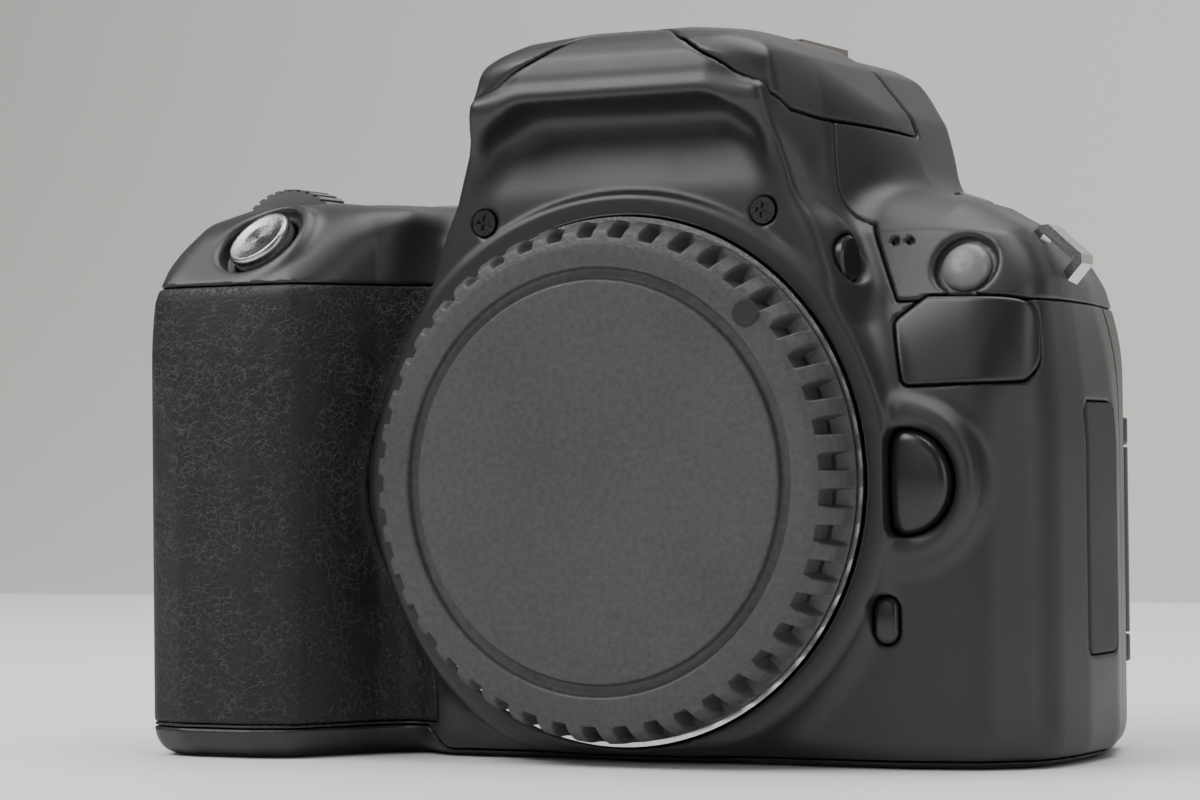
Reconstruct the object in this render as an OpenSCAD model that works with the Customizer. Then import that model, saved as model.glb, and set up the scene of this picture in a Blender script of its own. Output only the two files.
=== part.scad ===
// Compact digital single-lens reflex camera body with a bayonet body cap.
// Frame: X to the viewer's right as seen from the front, Y towards the back,
// Z up. The origin is the centre of the tripod socket's mouth, on the base.

/* [Body] */
// Height of the top deck beside the viewfinder hump
deck_z = 72.5; // [68:0.5:76]
// Height of the top of the grip
grip_z = 72.8; // [72:0.1:74]
// Front plane of the grip
grip_front = -39.5; // [-42:0.5:-36]
// Front plane of the body beside the mount
front_y = -27; // [-29:0.5:-24]
// Rear plane of the body
rear_y = 21.5; // [19:0.5:23]
// Wall thickness of the moulded covers
wall = 1.8; // [1.4:0.1:2.4]
// Thickness of the grip rubber
rubber_t = 1.2; // [0.8:0.1:1.6]
// Gap at the parting lines between covers
seam = 0.12; // [0.05:0.01:0.3]

/* [Lens mount] */
// Height of the optical axis above the base
axis_z = 35.3; // [34:0.1:37]
// Front plane of the lens flange
flange_y = -30; // [-32:0.5:-28]
// Distance from the flange to the image plane
register = 44; // [44:0.1:44]
// Bore of the mount's throat
throat_d = 54; // [54:0.1:54]
// Outside diameter of the steel mount ring
ring_d = 66.2; // [64:0.1:68]
// Outside diameter of the body cap
cap_d = 65; // [62:0.1:66]
// Height of the cap's face above the flange
cap_h = 7; // [5:0.1:8]
// Number of finger notches round the cap
notch_count = 45; // [30:1:60]

/* [Flash] */
// Height of the flash head's lower edge
flash_z = 82.6; // [80:0.1:84]
// Height of the flash head's hinge
flash_hinge_z = 91.6; // [91.2:0.1:91.8]

/* [Screen] */
// Width of the rear screen panel
lcd_w = 65.7; // [62:0.1:68]
// Height of the rear screen panel
lcd_h = 54.4; // [50:0.1:56]
// Thickness of the rear screen panel
lcd_t = 7.2; // [6:0.1:8]

/* [Fits] */
// Clearance round buttons and doors
gap = 0.35; // [0.25:0.05:0.5]
// Radial running clearance on pins
run = 0.05; // [0.02:0.01:0.1]

/* [Hidden] */
$fn = 48;

black = [0.10, 0.10, 0.105];
soft_black = [0.07, 0.07, 0.075];
cap_grey = [0.25, 0.25, 0.25];
steel = [0.72, 0.72, 0.73];
far = 120;

image_y = flange_y + register;
lcd_x0 = -24;
lcd_z0 = 4.8;
lcd_y0 = 17.9;
lcd_pivot = [46.2, 20.9];
barrel_r = 2.7;
// Strap lugs: place of the bar in X and Z, and its lean, in degrees.
lug_y = -6.5;
lugs = [[50.6, 63.9, 42], [-66, 66.6, -62]];
split_y = 8;
port_y0 = 8.6;
port_y1 = 14;
port_z0 = 12;
port_z1 = 46;
base_top = 3.8;
grip_seam = 61.3;
side_seam = 57;
tower_back = -16;

// Shutter button: centre on the sloping front of the grip's top, and its lean.
shutter_at = [-52.4, -30.4, 67.4];
shutter_tilt = 46;
dial_at = [-56.2, -14, 66.4];
mode_at = [-39, 4];
key_at = [-43, 33];
release_x = 36.8;
// Flash button on the flank of the tower.
flash_key_at = [28.8, -24, 62.4];
// Wi-Fi button on the shoulder, and its lean.
wifi_at = [34.8, 3.6, 71];
wifi_lean = 20;

// ---- outline helpers -------------------------------------------------------

function unit(v) = v / norm(v);
function left(v) = [-v[1], v[0]];
function at(p, i) = p[(i + len(p)) % len(p)];
function miter(a, b) = (a + b) / (1 + a * b);

// Moves every edge of a counter-clockwise outline inwards by t.
function inset(p, t) = [for (i = [0:len(p) - 1])
    p[i] + t * miter(left(unit(p[i] - at(p, i - 1))), left(unit(at(p, i + 1) - p[i])))];

// Rounds each corner over a run of c along both of its edges, kept within the edges.
function run_at(p, c, i) = min(c, 0.46 * norm(at(p, i - 1) - p[i]), 0.46 * norm(at(p, i + 1) - p[i]));
function rounded(p, c, n = 5) = [for (i = [0:len(p) - 1])
    let (r = run_at(p, c[i], i), a = p[i] + r * unit(at(p, i - 1) - p[i]),
        b = p[i] + r * unit(at(p, i + 1) - p[i]))
    for (k = [0:n]) let (t = k / n) (1 - t) * (1 - t) * a + 2 * t * (1 - t) * p[i] + t * t * b];

module outline(p, c, t = 0, n = 5) {
    polygon(rounded(inset(p, t), [for (v = c) max(v - t * 0.5, 0.05)], n));
}

module along_x(x0, x1) {
    translate([x0, 0, 0]) rotate([90, 0, 90]) linear_extrude(x1 - x0) children();
}

module along_y(y0, y1) {
    translate([0, y1, 0]) rotate([90, 0, 0]) linear_extrude(y1 - y0) children();
}

module along_z(z0, z1) {
    translate([0, 0, z0]) linear_extrude(z1 - z0) children();
}

module block(x0, x1, y0, y1, z0, z1) {
    translate([x0, y0, z0]) cube([x1 - x0, y1 - y0, z1 - z0]);
}

module rod_x(x0, x1, y, z, r) {
    translate([x0, y, z]) rotate([0, 90, 0]) cylinder(h = x1 - x0, r = r);
}

module rod_y(x, y0, y1, z, r) {
    translate([x, y1, z]) rotate([90, 0, 0]) cylinder(h = y1 - y0, r = r);
}

module rod_z(x, y, z0, z1, r) {
    translate([x, y, z0]) cylinder(h = z1 - z0, r = r);
}

// ---- outer form ------------------------------------------------------------

main_front = [[-66.4, 0], [52.6, 0], [54.4, 10], [54.4, 50], [51.8, 63.5], [44, 68.6], [30, deck_z],
    [-20, deck_z], [-34, deck_z - 1.3], [-66.4, deck_z - 1.3]];
main_front_c = [3, 5, 6, 10, 5, 7, 4, 4, 4, 4];
main_plan = [[-66.4, -18], [-34, -23], [-28, front_y], [36, front_y], [46, -24.2], [52.6, -18],
    [54.4, -9], [54.4, 1.6], [52.2, 8.6], [48.8, rear_y], [-60, rear_y], [-66.4, 14]];
main_plan_c = [3, 2, 2, 4, 4, 4, 4, 2, 4, 4, 5, 4];
main_side = [[front_y, 0], [rear_y, 0], [rear_y, 62], [18, deck_z], [-11, deck_z], [-18, 66],
    [front_y, 45]];
main_side_c = [3, 3, 5, 3.5, 5, 6, 8];

grip_front_view = [[-66.5, 0], [-33, 0], [-33, grip_z - 1.6], [-46, grip_z], [-58, grip_z],
    [-64, 70.8], [-67.6, 64.6], [-68, 56], [-68, 6]];
grip_front_c = [2.5, 0.5, 2, 5, 5, 3.5, 3, 3, 3];
grip_plan = [[-68, -30], [-65.5, -37.2], [-59.5, grip_front], [-49.5, grip_front], [-43.5, -37.4],
    [-37, -26.5], [-30.5, -20], [-30.5, 12], [-60, 16], [-66.2, 14]];
grip_plan_c = [2.5, 3, 3, 3, 3, 4, 2, 2, 3, 3];
grip_side = [[grip_front + 1, 0], [16, 0], [16, grip_z], [-24.5, grip_z], [-37.6, 60.6],
    [grip_front, 55], [grip_front, 5]];
grip_side_c = [2.5, 1, 4, 5, 3, 2, 2];

tower_half = [[34, 45], [30.4, 57.5], [27.4, 63.8], [25.2, 68.6], [22.9, 73.7], [20.4, 78.4],
    [18.6, flash_z]];
tower_front = concat(tower_half, [for (i = [len(tower_half) - 1:-1:0])
    [-tower_half[i][0], tower_half[i][1]]]);
tower_c = [0.1, 1.5, 1.5, 1.5, 1.5, 1.5, 0.1, 0.1, 1.5, 1.5, 1.5, 1.5, 1.5, 0.1];

hump_front = [[30.5, 56], [29.6, 72], [25.4, 82.4], [20.2, 88.7], [13, 92.6], [6, 93.5], [-6, 93.5],
    [-13, 92.6], [-20.2, 88.7], [-25.4, 82.4], [-29.6, 72], [-30.5, 56]];
hump_front_c = [0.1, 4, 4, 3.4, 3.4, 3, 3, 3.4, 3.4, 4, 4, 0.1];
hump_plan = [[-13.2, -31.8], [13.2, -31.8], [20.6, -28.4], [22.8, -18], [30, 2], [27.5, 18],
    [18, 25.4], [-18, 25.4], [-27.5, 18], [-30, 2], [-22.8, -18], [-20.6, -28.4]];
hump_plan_c = [2, 2, 2, 5, 5, 4, 2, 2, 4, 5, 5, 2];
hump_side = [[-32.2, flash_z], [-27.2, 79], [-27, 56], [25.4, 56], [25.4, 84.5], [20, 91.7],
    [6.2, 91.7], [5, 93.2], [-12, 93.5], [-22, 92.8], [-27.4, 91.2], [-30.7, 88.4], [-31.9, 85.4]];
hump_side_c = [0.6, 3, 0.1, 0.1, 2, 2, 0.3, 0.6, 4, 3, 2, 2, 1];

module main_form(t = 0) {
    intersection() {
        along_y(-60, 60) outline(main_front, main_front_c, t);
        along_z(-5, 100) outline(main_plan, main_plan_c, t);
        along_x(-far, far) outline(main_side, main_side_c, t);
    }
}

module grip_form(t = 0) {
    intersection() {
        along_y(-60, 60) outline(grip_front_view, grip_front_c, t);
        along_z(-5, 100) outline(grip_plan, grip_plan_c, t);
        along_x(-far, far) outline(grip_side, grip_side_c, t);
    }
}

module hump_form(t = 0) {
    intersection() {
        along_y(-60, 60) outline(hump_front, hump_front_c, t);
        along_z(40, 100) outline(hump_plan, hump_plan_c, t);
        along_x(-far, far) outline(hump_side, hump_side_c, t);
    }
}

module tower_form(t = 0) {
    along_y(-28.8 + t, 0) outline(tower_front, tower_c, t);
    intersection() {
        rod_y(0, -28.8 + t, -8, axis_z, 36.6 - t);
        block(-60, 60, -60, 0, t, 90);
    }
}

module outer_form(t = 0) {
    main_form(t);
    grip_form(t);
    hump_form(t);
    tower_form(t);
}

// Space inside the covers.
module inner_form() {
    outer_form(wall);
}

module shell() {
    difference() {
        outer_form();
        inner_form();
    }
}

// Everything that the top cover and the flash head take from the shell.
module top_zone(g = 0) {
    block(-80, -27, -60, 60, grip_seam - g, 110);
    block(27, 80, -60, 60, side_seam - g, 110);
    block(-80, 80, tower_back - g, 60, grip_seam - g, 110);
}

// The lid of the flash: above a line along the flanks, and behind a bow-shaped front edge.
lid_back = 5.4;
lid_side = [[-34, 93], [-31, 89.4], [-30.2, 87], [-29, 83], [-25, 81.1], [-18, 80.4], [lid_back, 79.7],
    [lid_back, 110], [-34, 110]];
lid_bow = [[0, -20.5], [5, -24], [9, -29], [12.5, -34], [34, -34]];

module flash_zone(g = 0) {
    intersection() {
        along_x(-60, 60) polygon([for (p = lid_side) p + g * (p[0] < lid_back ? [0, -1] : [1, -1])]);
        along_z(70, 110) polygon(concat([for (p = lid_bow) p - [0, 3 * g]], [[34, 20], [-34, 20]],
            [for (i = [len(lid_bow) - 1:-1:1]) [-lid_bow[i][0], lid_bow[i][1] - 3 * g]]));
    }
}

module rubber_zone(g = 0) {
    difference() {
        block(-90, -29 + g, -60, 4 + g, base_top + 0.5 - g, grip_seam + g);
        rod_y(0, -60, 0, axis_z, 36.8 - g);
    }
}

// ---- small shared shapes ---------------------------------------------------

// A push button: a domed cap with a retaining flange below it, pointing to -Z.
module push_button(r, rise, depth) {
    cylinder(h = rise - 0.4, r = r);
    translate([0, 0, rise - 0.4]) cylinder(h = 0.4, r1 = r, r2 = r - 0.4);
    translate([0, 0, -depth]) cylinder(h = depth, r = r);
    translate([0, 0, -depth - 1]) cylinder(h = 1, r = r + 0.8);
}

module button_well(r, depth) {
    translate([0, 0, -depth - 3]) cylinder(h = depth + 10, r = r + gap);
    translate([0, 0, -depth - 3]) cylinder(h = 3.1, r = r + 0.8 + gap);
}

// Oblong bar, upright, for the preview button.
module oval_rod(r, h) {
    linear_extrude(h) {
        for (s = [-1, 1]) translate([0, s * 1.4]) circle(r);
        square([2 * r, 2.8], center = true);
    }
}

module on_rear(x, z) {
    translate([x, rear_y, z]) rotate([-90, 0, 0]) children();
}

module on_deck(x, y, z) {
    translate([x, y, z]) children();
}

module on_front(x, y, z, lean = 0) {
    translate([x, y, z]) rotate([90 - lean, 0, 0]) children();
}

module at_shutter() {
    translate(shutter_at) rotate([shutter_tilt, 0, 0]) rotate([0, -12, 0]) children();
}

rear_keys = [[39.6, 64.8, 2.5], [30.6, 64.8, 2.5], [-28.5, 65, 3], [-34.5, 52.6, 2.6],
    [-36, 13.5, 2.6], [-50, 13.5, 2.6], [-47.5, 65.6, 2.5], [-56, 65.2, 2.5]];

module rear_key(i) {
    on_rear(rear_keys[i][0], rear_keys[i][1]) push_button(rear_keys[i][2], 0.9, 3.4);
}

module key_ring(a0, g = 0) {
    intersection() {
        difference() {
            circle(9.6 + g);
            circle(5.2 - g);
        }
        rotate(a0) polygon([[0, 0], [20, -20 + 1 - g], [20, 20 - 1 + g]]);
    }
}

module cross_key(a0) {
    color(black) on_rear(key_at[0], key_at[1]) {
        translate([0, 0, -2.2]) linear_extrude(3) key_ring(a0);
        translate([0, 0, -3.2]) linear_extrude(1) rotate(a0) translate([7.4, 0]) square([4.8, 6], center = true);
    }
}

// D-shaped outline of the lens release button, flat side towards the mount.
module release_outline(g = 0) {
    translate([release_x, axis_z - 0.4]) intersection() {
        circle(6.5 + g);
        translate([-g, -10]) square([10, 20]);
    }
    translate([release_x - 1.2 - g, axis_z - 0.4 - 6.3 - g]) square([1.4 + g, 12.6 + 2 * g]);
}

plate_pts = [[36.6, 46.6], [50.4, 47], [53, 52.2], [52.2, 57.2], [38.2, 57.6], [34.4, 54.6]];
plate_c = [1, 1, 1, 1, 1, 1];

// Socket behind the terminal cover.
module jack(z, r) {
    rod_x(48.4, 60, -4, z, r);
}

// ---- covers ----------------------------------------------------------------

module front_cover() {
    color(black) difference() {
        union() {
            difference() {
                shell();
                top_zone(seam);
                block(-80, 80, split_y - seam, 60, -5, 110);
                block(-80, 80, -60, 60, -5, base_top + seam);
                flash_zone(0.3);
            }
            // Floor of the flash well.
            difference() {
                intersection() {
                    outer_form(1);
                    block(-24, 24, -30, tower_back - seam, 77.4, 78.8);
                }
                block(-17, 17, -26, 0, 70, 90);
            }
            // Grip core under the rubber.
            difference() {
                intersection() {
                    grip_form(rubber_t + 0.02);
                    rubber_zone(0.02);
                    block(-90, -28, -60, split_y - seam, 0, 90);
                }
                grip_form(rubber_t + 1.7);
                main_form(wall);
            }
            // Collar behind the release button.
            intersection() {
                block(35.2, 47, -25.6, -22, 26, 44);
                main_form(0.2);
            }
        }
        difference() {
            rubber_zone(0.02);
            union() {
                grip_form(rubber_t + 0.02);
                main_form(0.02);
                tower_form();
            }
        }
        rod_y(0, -60, -27.4, axis_z, ring_d / 2 + 0.05);
        rod_y(0, -60, 0, axis_z, throat_d / 2 + 1.5);
        along_y(-60, -10) release_outline(gap);
        on_front(34.6, front_y, 18.2) {
            translate([0, 0, -8]) oval_rod(1.5 + gap, 12);
            translate([0, 0, -8]) oval_rod(2.1 + gap, 4.7);
        }
        translate(flash_key_at) rotate([0, 90, 0]) cylinder(h = 12, r = 2.85 + gap, center = true);
        for (s = [-1, 1]) rod_y(s * 19.6, -60, -27.9, 68.5, 1.75);
        difference() {
            along_y(-40, 0) outline(plate_pts, plate_c, -0.1);
            main_form(0.9);
        }
        rod_y(29.2, -60, -20, axis_z, 1.1 + run);
        block(52.95, 60, -9.3, 2, 13.3, 44.7);
        jack(37, 2.9);
        jack(22, 1.9);
    }
}

module top_cover() {
    color(black) difference() {
        union() {
            difference() {
                intersection() {
                    shell();
                    top_zone();
                }
                flash_zone(0.3);
            }
            // Back and floor of the flash well.
            intersection() {
                outer_form(1);
                block(-24, 24, 5.9, 7.6, 78, 90);
            }
            difference() {
                intersection() {
                    outer_form(1);
                    block(-26, 26, tower_back, 7.6, 77.2, 78.6);
                }
                block(-17, 17, -26, 1, 70, 90);
            }
            // Collar of the shutter button.
            at_shutter() translate([0, 0, -2.2]) cylinder(h = 2.4, r = 6.6);
            // Cup under the mode dial.
            rod_z(mode_at[0], mode_at[1], 64, 72, 12.6);
        }
        // Deck round the mode dial and the power lever.
        rod_z(mode_at[0], mode_at[1], 65.4, 90, 11.3);
        rod_z(mode_at[0], mode_at[1], 60, 90, 2 + run);
        lever_slot();
        at_shutter() button_well(4.7, 3);
        at_shutter() translate([0, 0, -0.6]) cylinder(h = 9, r = 5.4);
        // Slot for the main dial.
        rod_y(dial_at[0], dial_at[1] - 3.4, dial_at[1] + 3.4, dial_at[2], 9.3);
        on_deck(-47.5, -7.5, grip_z) button_well(1.9, 2.4);
        on_deck(-53.5, -3.2, grip_z) button_well(1.9, 2.4);
        translate(wifi_at) rotate([0, wifi_lean, 0]) button_well(2.8, 2.4);
        on_front(42.4, -19.2, 61.6, 24) translate([0, 0, -1.6]) cylinder(h = 6, r = 3.3);
        for (x = [32.6, 34.6]) on_front(x, -19.6, 65.4, 24) cylinder(h = 4, r = 0.5, center = true);
        for (l = lugs) lug_well(l);
        lcd_bay();
        block(-9.6, 9.6, 6.6, 22.4, 90, 98);
        // Viewfinder window and the seat of its eyecup.
        window_opening();
        rod_y(-20.4, 18, 60, 79, 2.6 + gap);
        translate(flash_key_at) rotate([0, 90, 0]) cylinder(h = 12, r = 2.85 + gap, center = true);
        for (i = [0, 1, 2, 6, 7]) on_rear(rear_keys[i][0], rear_keys[i][1]) button_well(rear_keys[i][2], 3.4);
        difference() {
            along_y(-40, 0) outline(plate_pts, plate_c, -0.1);
            main_form(0.9);
        }
    }
}

module window_opening() {
    along_y(16, 60) translate([0, 75]) square([21, 13], center = true);
}

// Arc in the deck that the power lever's tab sweeps.
module lever_slot() {
    intersection() {
        rod_z(mode_at[0], mode_at[1], 65.4, 90, 14.9);
        along_z(60, 95) translate(mode_at) rotate(-81) polygon([[0, 0], [20, -12.2], [20, 12.2]]);
    }
}

module lug_well(l) {
    translate([l[0], lug_y, l[1]]) rotate([0, l[2], 0]) block(-4.1, 4.1, -2.5, 2.5, -3.8, 6);
}

module lcd_bay() {
    block(lcd_x0 - gap, lcd_x0 + lcd_w + 0.6, lcd_y0 - 0.3, 60, lcd_z0 - gap, lcd_z0 + lcd_h + gap);
    block(40, 60, lcd_y0 - 0.3, 60, 10.6, 43.4);
}

module rear_cover() {
    color(black) difference() {
        union() {
            difference() {
                shell();
                top_zone(seam);
                block(-80, 80, -60, split_y, -5, 110);
                block(-80, 80, -60, 60, -5, base_top + seam);
            }
            intersection() {
                main_form(0.1);
                block(lcd_x0 - 2, 54, 16, 40, base_top + seam, grip_seam - seam);
                block(-60, 60, 0, 60, 0, side_seam - seam);
            }
            intersection() {
                main_form(0.1);
                block(lcd_x0 - 2, 26.8, 16, 40, 50, grip_seam - seam);
            }
        }
        lcd_bay();
        for (i = [2:7]) on_rear(rear_keys[i][0], rear_keys[i][1]) button_well(rear_keys[i][2], 3.4);
        on_rear(key_at[0], key_at[1]) translate([0, 0, -6]) cylinder(h = 16, r = 9.6 + gap);
        thumb_zone(0.02);
        block(-80, -65.2 + gap, port_y0 - gap, port_y1 + gap, port_z0 - gap, port_z1 + gap);
    }
    // Floor of the recess and the ears of the screen's hinge.
    color(black) difference() {
        for (z = [11, 39.4]) {
            rod_z(lcd_pivot[0], lcd_pivot[1], z, z + 3.6, barrel_r);
            block(43.9, 48.5, 17.5, 21, z, z + 3.6);
        }
        rod_z(lcd_pivot[0], lcd_pivot[1], 5, 50, 1.2 + run);
    }
}

module thumb_zone(g = 0) {
    along_y(20.3, 60) outline([[-60.4 - g, 43 - g], [-49 + g, 44 - g], [-43.6 + g, 58.4 + g],
        [-60.4 - g, 59.6 + g]], [3, 3, 3, 3]);
}

module base_cover() {
    color(black) difference() {
        intersection() {
            union() {
                shell();
                intersection() {
                    outer_form();
                    block(-80, 80, -60, 60, 0, 1.8);
                }
            }
            block(-80, 80, -60, 60, -1, base_top);
        }
        rod_z(0, 0, -1, 10, 7.2);
        rod_y(0, -60, -27.4, axis_z, ring_d / 2 + 0.05);
        along_z(-1, 10) outline(door_pts, door_c, -gap);
        block(-31, -28.8, -20, 10.5, -1, 10);
        for (p = base_screws) rod_z(p[0], p[1], -1, 0.9, 1.75);
    }
}

door_pts = [[-64, -30], [-60, -36.6], [-50, -36.6], [-43, -30], [-38, -22], [-30.6, -18.4],
    [-30.6, 10], [-64, 10]];
door_c = [2, 2, 2, 2, 2, 0.3, 0.3, 2];
base_screws = [[-22, -16], [-22, 12], [22, -18], [30, 12], [47, -12], [47, 13]];

module grip_rubber() {
    color(soft_black) difference() {
        intersection() {
            grip_form();
            rubber_zone();
        }
        grip_form(rubber_t);
        main_form(0);
        tower_form(-0.05);
    }
}

module thumb_rubber() {
    color(soft_black) intersection() {
        thumb_zone(-0.05);
        along_z(30, 70) polygon([[-61, 20.3], [-42, 20.3], [-42, rear_y + 0.2], [-47, 22.6],
            [-52, 24], [-56.5, 24.3], [-59.4, 23.4], [-61, 21.8]]);
    }
}

// ---- lens mount ------------------------------------------------------------

module mount_ring() {
    color(steel) difference() {
        union() {
            rod_y(0, flange_y, flange_y + 2.4, axis_z, ring_d / 2);
            rod_y(0, flange_y + 2.4, flange_y + 4.6, axis_z, throat_d / 2 + 1.4);
        }
        rod_y(0, -60, 0, axis_z, throat_d / 2 - 1.6);
        // Three gaps between the bayonet tabs, and the groove behind the tabs.
        for (a = [0, 120, 240]) bayonet_gap(a);
        rod_y(0, flange_y + 1.6, 0, axis_z, throat_d / 2);
        for (a = [45, 135, 225, 315]) mount_polar(a, 30.4) cylinder(h = 8, r = 1, center = true);
        rod_y(29.2, -60, 0, axis_z, 1.1 + run);
    }
}

module mount_polar(a, r) {
    translate([r * cos(a), flange_y, axis_z + r * sin(a)]) rotate([90, 0, 0]) children();
}

module bayonet_gap(a) {
    along_y(-60, 0) translate([0, axis_z]) intersection() {
        circle(throat_d / 2);
        rotate(a + 60) polygon([[0, 0], [60, -34.6], [60, 34.6]]);
    }
}

module body_cap() {
    color(cap_grey) {
        translate([0, flange_y, axis_z]) rotate([90, 0, 0]) difference() {
            union() {
                rotate_extrude() polygon([[0, 3], [23.4, 3], [23.4, -3.2], [24.9, -3.2], [25.2, -3],
                    [25.2, 2.6], [30.7, 2.6], [30.7, 0.3], [cap_d / 2, 0.3],
                    [cap_d / 2, 3.2], [cap_d / 2 - 0.5, 5.2], [cap_d / 2 - 1.6, 6.6],
                    [cap_d / 2 - 3, cap_h], [26.5, cap_h], [26.2, cap_h - 1.1], [25.4, cap_h - 1.1],
                    [25.1, cap_h], [0, cap_h]]);
            }
            for (i = [0:notch_count - 1]) rotate(i * 360 / notch_count)
                translate([cap_d / 2 + 0.4, 0, 2.4]) cube([2.6, 2.1, 5.4], center = true);
            translate([20.9, 20.2, cap_h - 1.6]) cylinder(h = 4, r = 1.35);
        }
    }
    // Bayonet tabs behind the tabs of the ring.
    color(cap_grey) for (a = [0, 120, 240]) along_y(flange_y + 1.95, flange_y + 3.1)
        translate([0, axis_z]) intersection() {
            difference() {
                circle(26.6);
                circle(24.2);
            }
            rotate(a) polygon([[0, 0], [60, -30], [60, 30]]);
        }
}

module release_button() {
    color(black) {
        along_y(-27.9, -21.6) release_outline();
        along_y(-21.6, -20.6) release_outline(1);
    }
}

module lock_pin() {
    color(steel) {
        rod_y(29.2, -31.1, -22, axis_z, 1.1);
        rod_y(29.2, -22, -21, axis_z, 2);
    }
}

module preview_button() {
    color(black) on_front(34.6, front_y, 18.2) {
        translate([0, 0, -3.4]) oval_rod(1.5, 3.8);
        translate([0, 0, -4.4]) oval_rod(2.1, 1);
    }
}

module flash_button() {
    color(black) translate(flash_key_at) rotate([0, 90, 0]) {
        translate([0, 0, -2]) cylinder(h = 2.3, r = 2.85);
        translate([0, 0, 0.3]) cylinder(h = 0.3, r1 = 2.85, r2 = 2.5);
    }
}

// ---- top controls ----------------------------------------------------------

module flash_head() {
    color(black) difference() {
        union() {
            difference() {
                intersection() {
                    hump_form();
                    flash_zone(0);
                }
                intersection() {
                    hump_form(1.6);
                    block(-60, 60, -60, 4.2, 78, 110);
                }
                block(-60, 60, 4.2, 8, 60, 110);
            }
            rod_x(-15, 15, 4.2, flash_hinge_z, 1.2);
            // Lamp house under the lid, facing down until the lid is raised.
            difference() {
                intersection() {
                    hump_form(1.2);
                    block(-15, 15, -13.2, -1, 83.4, 91.9);
                }
                block(-13, 13, -12, -2.2, 70, 90);
            }
        }
        rod_x(-11, 11, 4.2, flash_hinge_z, 0.7);
    }
}

module flash_window() {
    color([0.8, 0.85, 0.85, 0.5]) block(-12.8, 12.8, -11.8, -2.4, 83.5, 85.2);
}

module shutter_button() {
    color(steel) at_shutter() {
        translate([0, 0, 0.3]) cylinder(h = 0.9, r1 = 4.6, r2 = 4.3);
        translate([0, 0, -2.8]) cylinder(h = 3.2, r = 4.6);
    }
}

module main_dial() {
    color(black) difference() {
        rod_y(dial_at[0], dial_at[1] - 3, dial_at[1] + 3, dial_at[2], 8.9);
        for (i = [0:39]) translate([dial_at[0], dial_at[1], dial_at[2]]) rotate([0, i * 9, 0])
            translate([0, 0, 9]) cube([0.6, 8, 0.9], center = true);
        rod_y(dial_at[0], -40, 0, dial_at[2], 1.5 + run);
    }
}

module mode_dial() {
    color(black) translate([mode_at[0], mode_at[1], 67.8]) {
        difference() {
            union() {
                cylinder(h = 4.6, r = 9.9);
                translate([0, 0, 4.6]) cylinder(h = 0.6, r1 = 9.9, r2 = 9.3);
            }
            for (i = [0:35]) rotate(i * 10) translate([9.95, 0, 1.6]) cube([0.7, 0.7, 7], center = true);
        }
        translate([0, 0, -7]) cylinder(h = 7, r = 2);
    }
}

module power_lever() {
    color(black) translate([mode_at[0], mode_at[1], 65.7]) {
        difference() {
            union() {
                cylinder(h = 1.7, r = 10.9);
                rotate(-62) translate([9, -2, 0]) cube([5.4, 4, 1.7]);
                rotate(-62) translate([12.2, -1.6, 0]) cube([2.2, 3.2, 7.6]);
            }
            translate([0, 0, -1]) cylinder(h = 4, r = 2.3);
        }
    }
}

module iso_button() {
    color(black) on_deck(-47.5, -7.5, grip_z) push_button(1.9, 0.45, 2.4);
}

module display_button() {
    color(black) on_deck(-53.5, -3.2, grip_z) push_button(1.9, 0.45, 2.4);
}

module wifi_button() {
    color(black) translate(wifi_at) rotate([0, wifi_lean, 0]) push_button(2.8, 0.5, 2.4);
}

module hot_shoe() {
    color(steel) difference() {
        block(-9.4, 9.4, 6.8, 22, 90.2, 93.9);
        block(-8.3, 8.3, 6, 21, 91.2, 92.9);
        block(-6.3, 6.3, 6, 30, 91.2, 95);
    }
}

// A bent steel bar over each shoulder, with a slot for the strap under it.
module strap_lugs() {
    color(steel) for (l = lugs) translate([l[0], lug_y, l[1]]) rotate([0, l[2], 0]) difference() {
        block(-3.7, 3.7, -2.1, 2.1, -3.6, 1.2);
        block(-2.5, 2.5, -5, 5, -2.6, -0.1);
        for (s = [-1, 1]) translate([s * 3.7, 0, 1.2]) rotate([90, 45, 0]) cube([1.2, 1.2, 5], center = true);
    }
}

// ---- rear controls ---------------------------------------------------------

module menu_button() {
    color(black) rear_key(0);
}

module info_button() {
    color(black) rear_key(1);
}

module live_view_button() {
    color(black) rear_key(2);
}

module exposure_button() {
    color(black) rear_key(3);
}

module playback_button() {
    color(black) rear_key(4);
}

module erase_button() {
    color(black) rear_key(5);
}

module ae_lock_button() {
    color(black) rear_key(6);
}

module af_point_button() {
    color(black) rear_key(7);
}

module up_key() {
    cross_key(-90);
}

module down_key() {
    cross_key(90);
}

module left_key() {
    cross_key(0);
}

module right_key() {
    cross_key(180);
}

module set_button() {
    color(black) on_rear(key_at[0], key_at[1]) {
        translate([0, 0, -3]) cylinder(h = 4, r = 4.5);
    }
}

module diopter_dial() {
    color(black) difference() {
        rod_y(-20.4, 19, 26.4, 79, 2.6);
        for (i = [0:15]) translate([-20.4, 25.6, 79]) rotate([0, i * 22.5, 0])
            translate([2.6, 0, 0]) cube([0.5, 2.4, 0.5], center = true);
    }
}

module eyecup() {
    color(soft_black) difference() {
        along_y(25.7, 29.8) outline([[-15.5, 66.5], [15.5, 66.5], [17, 84], [-17, 84]], [4, 4, 5, 5]);
        along_y(20, 40) outline([[-10, 69.4], [10, 69.4], [10, 80.6], [-10, 80.6]], [2, 2, 2, 2]);
    }
}

// ---- screen ----------------------------------------------------------------

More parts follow.
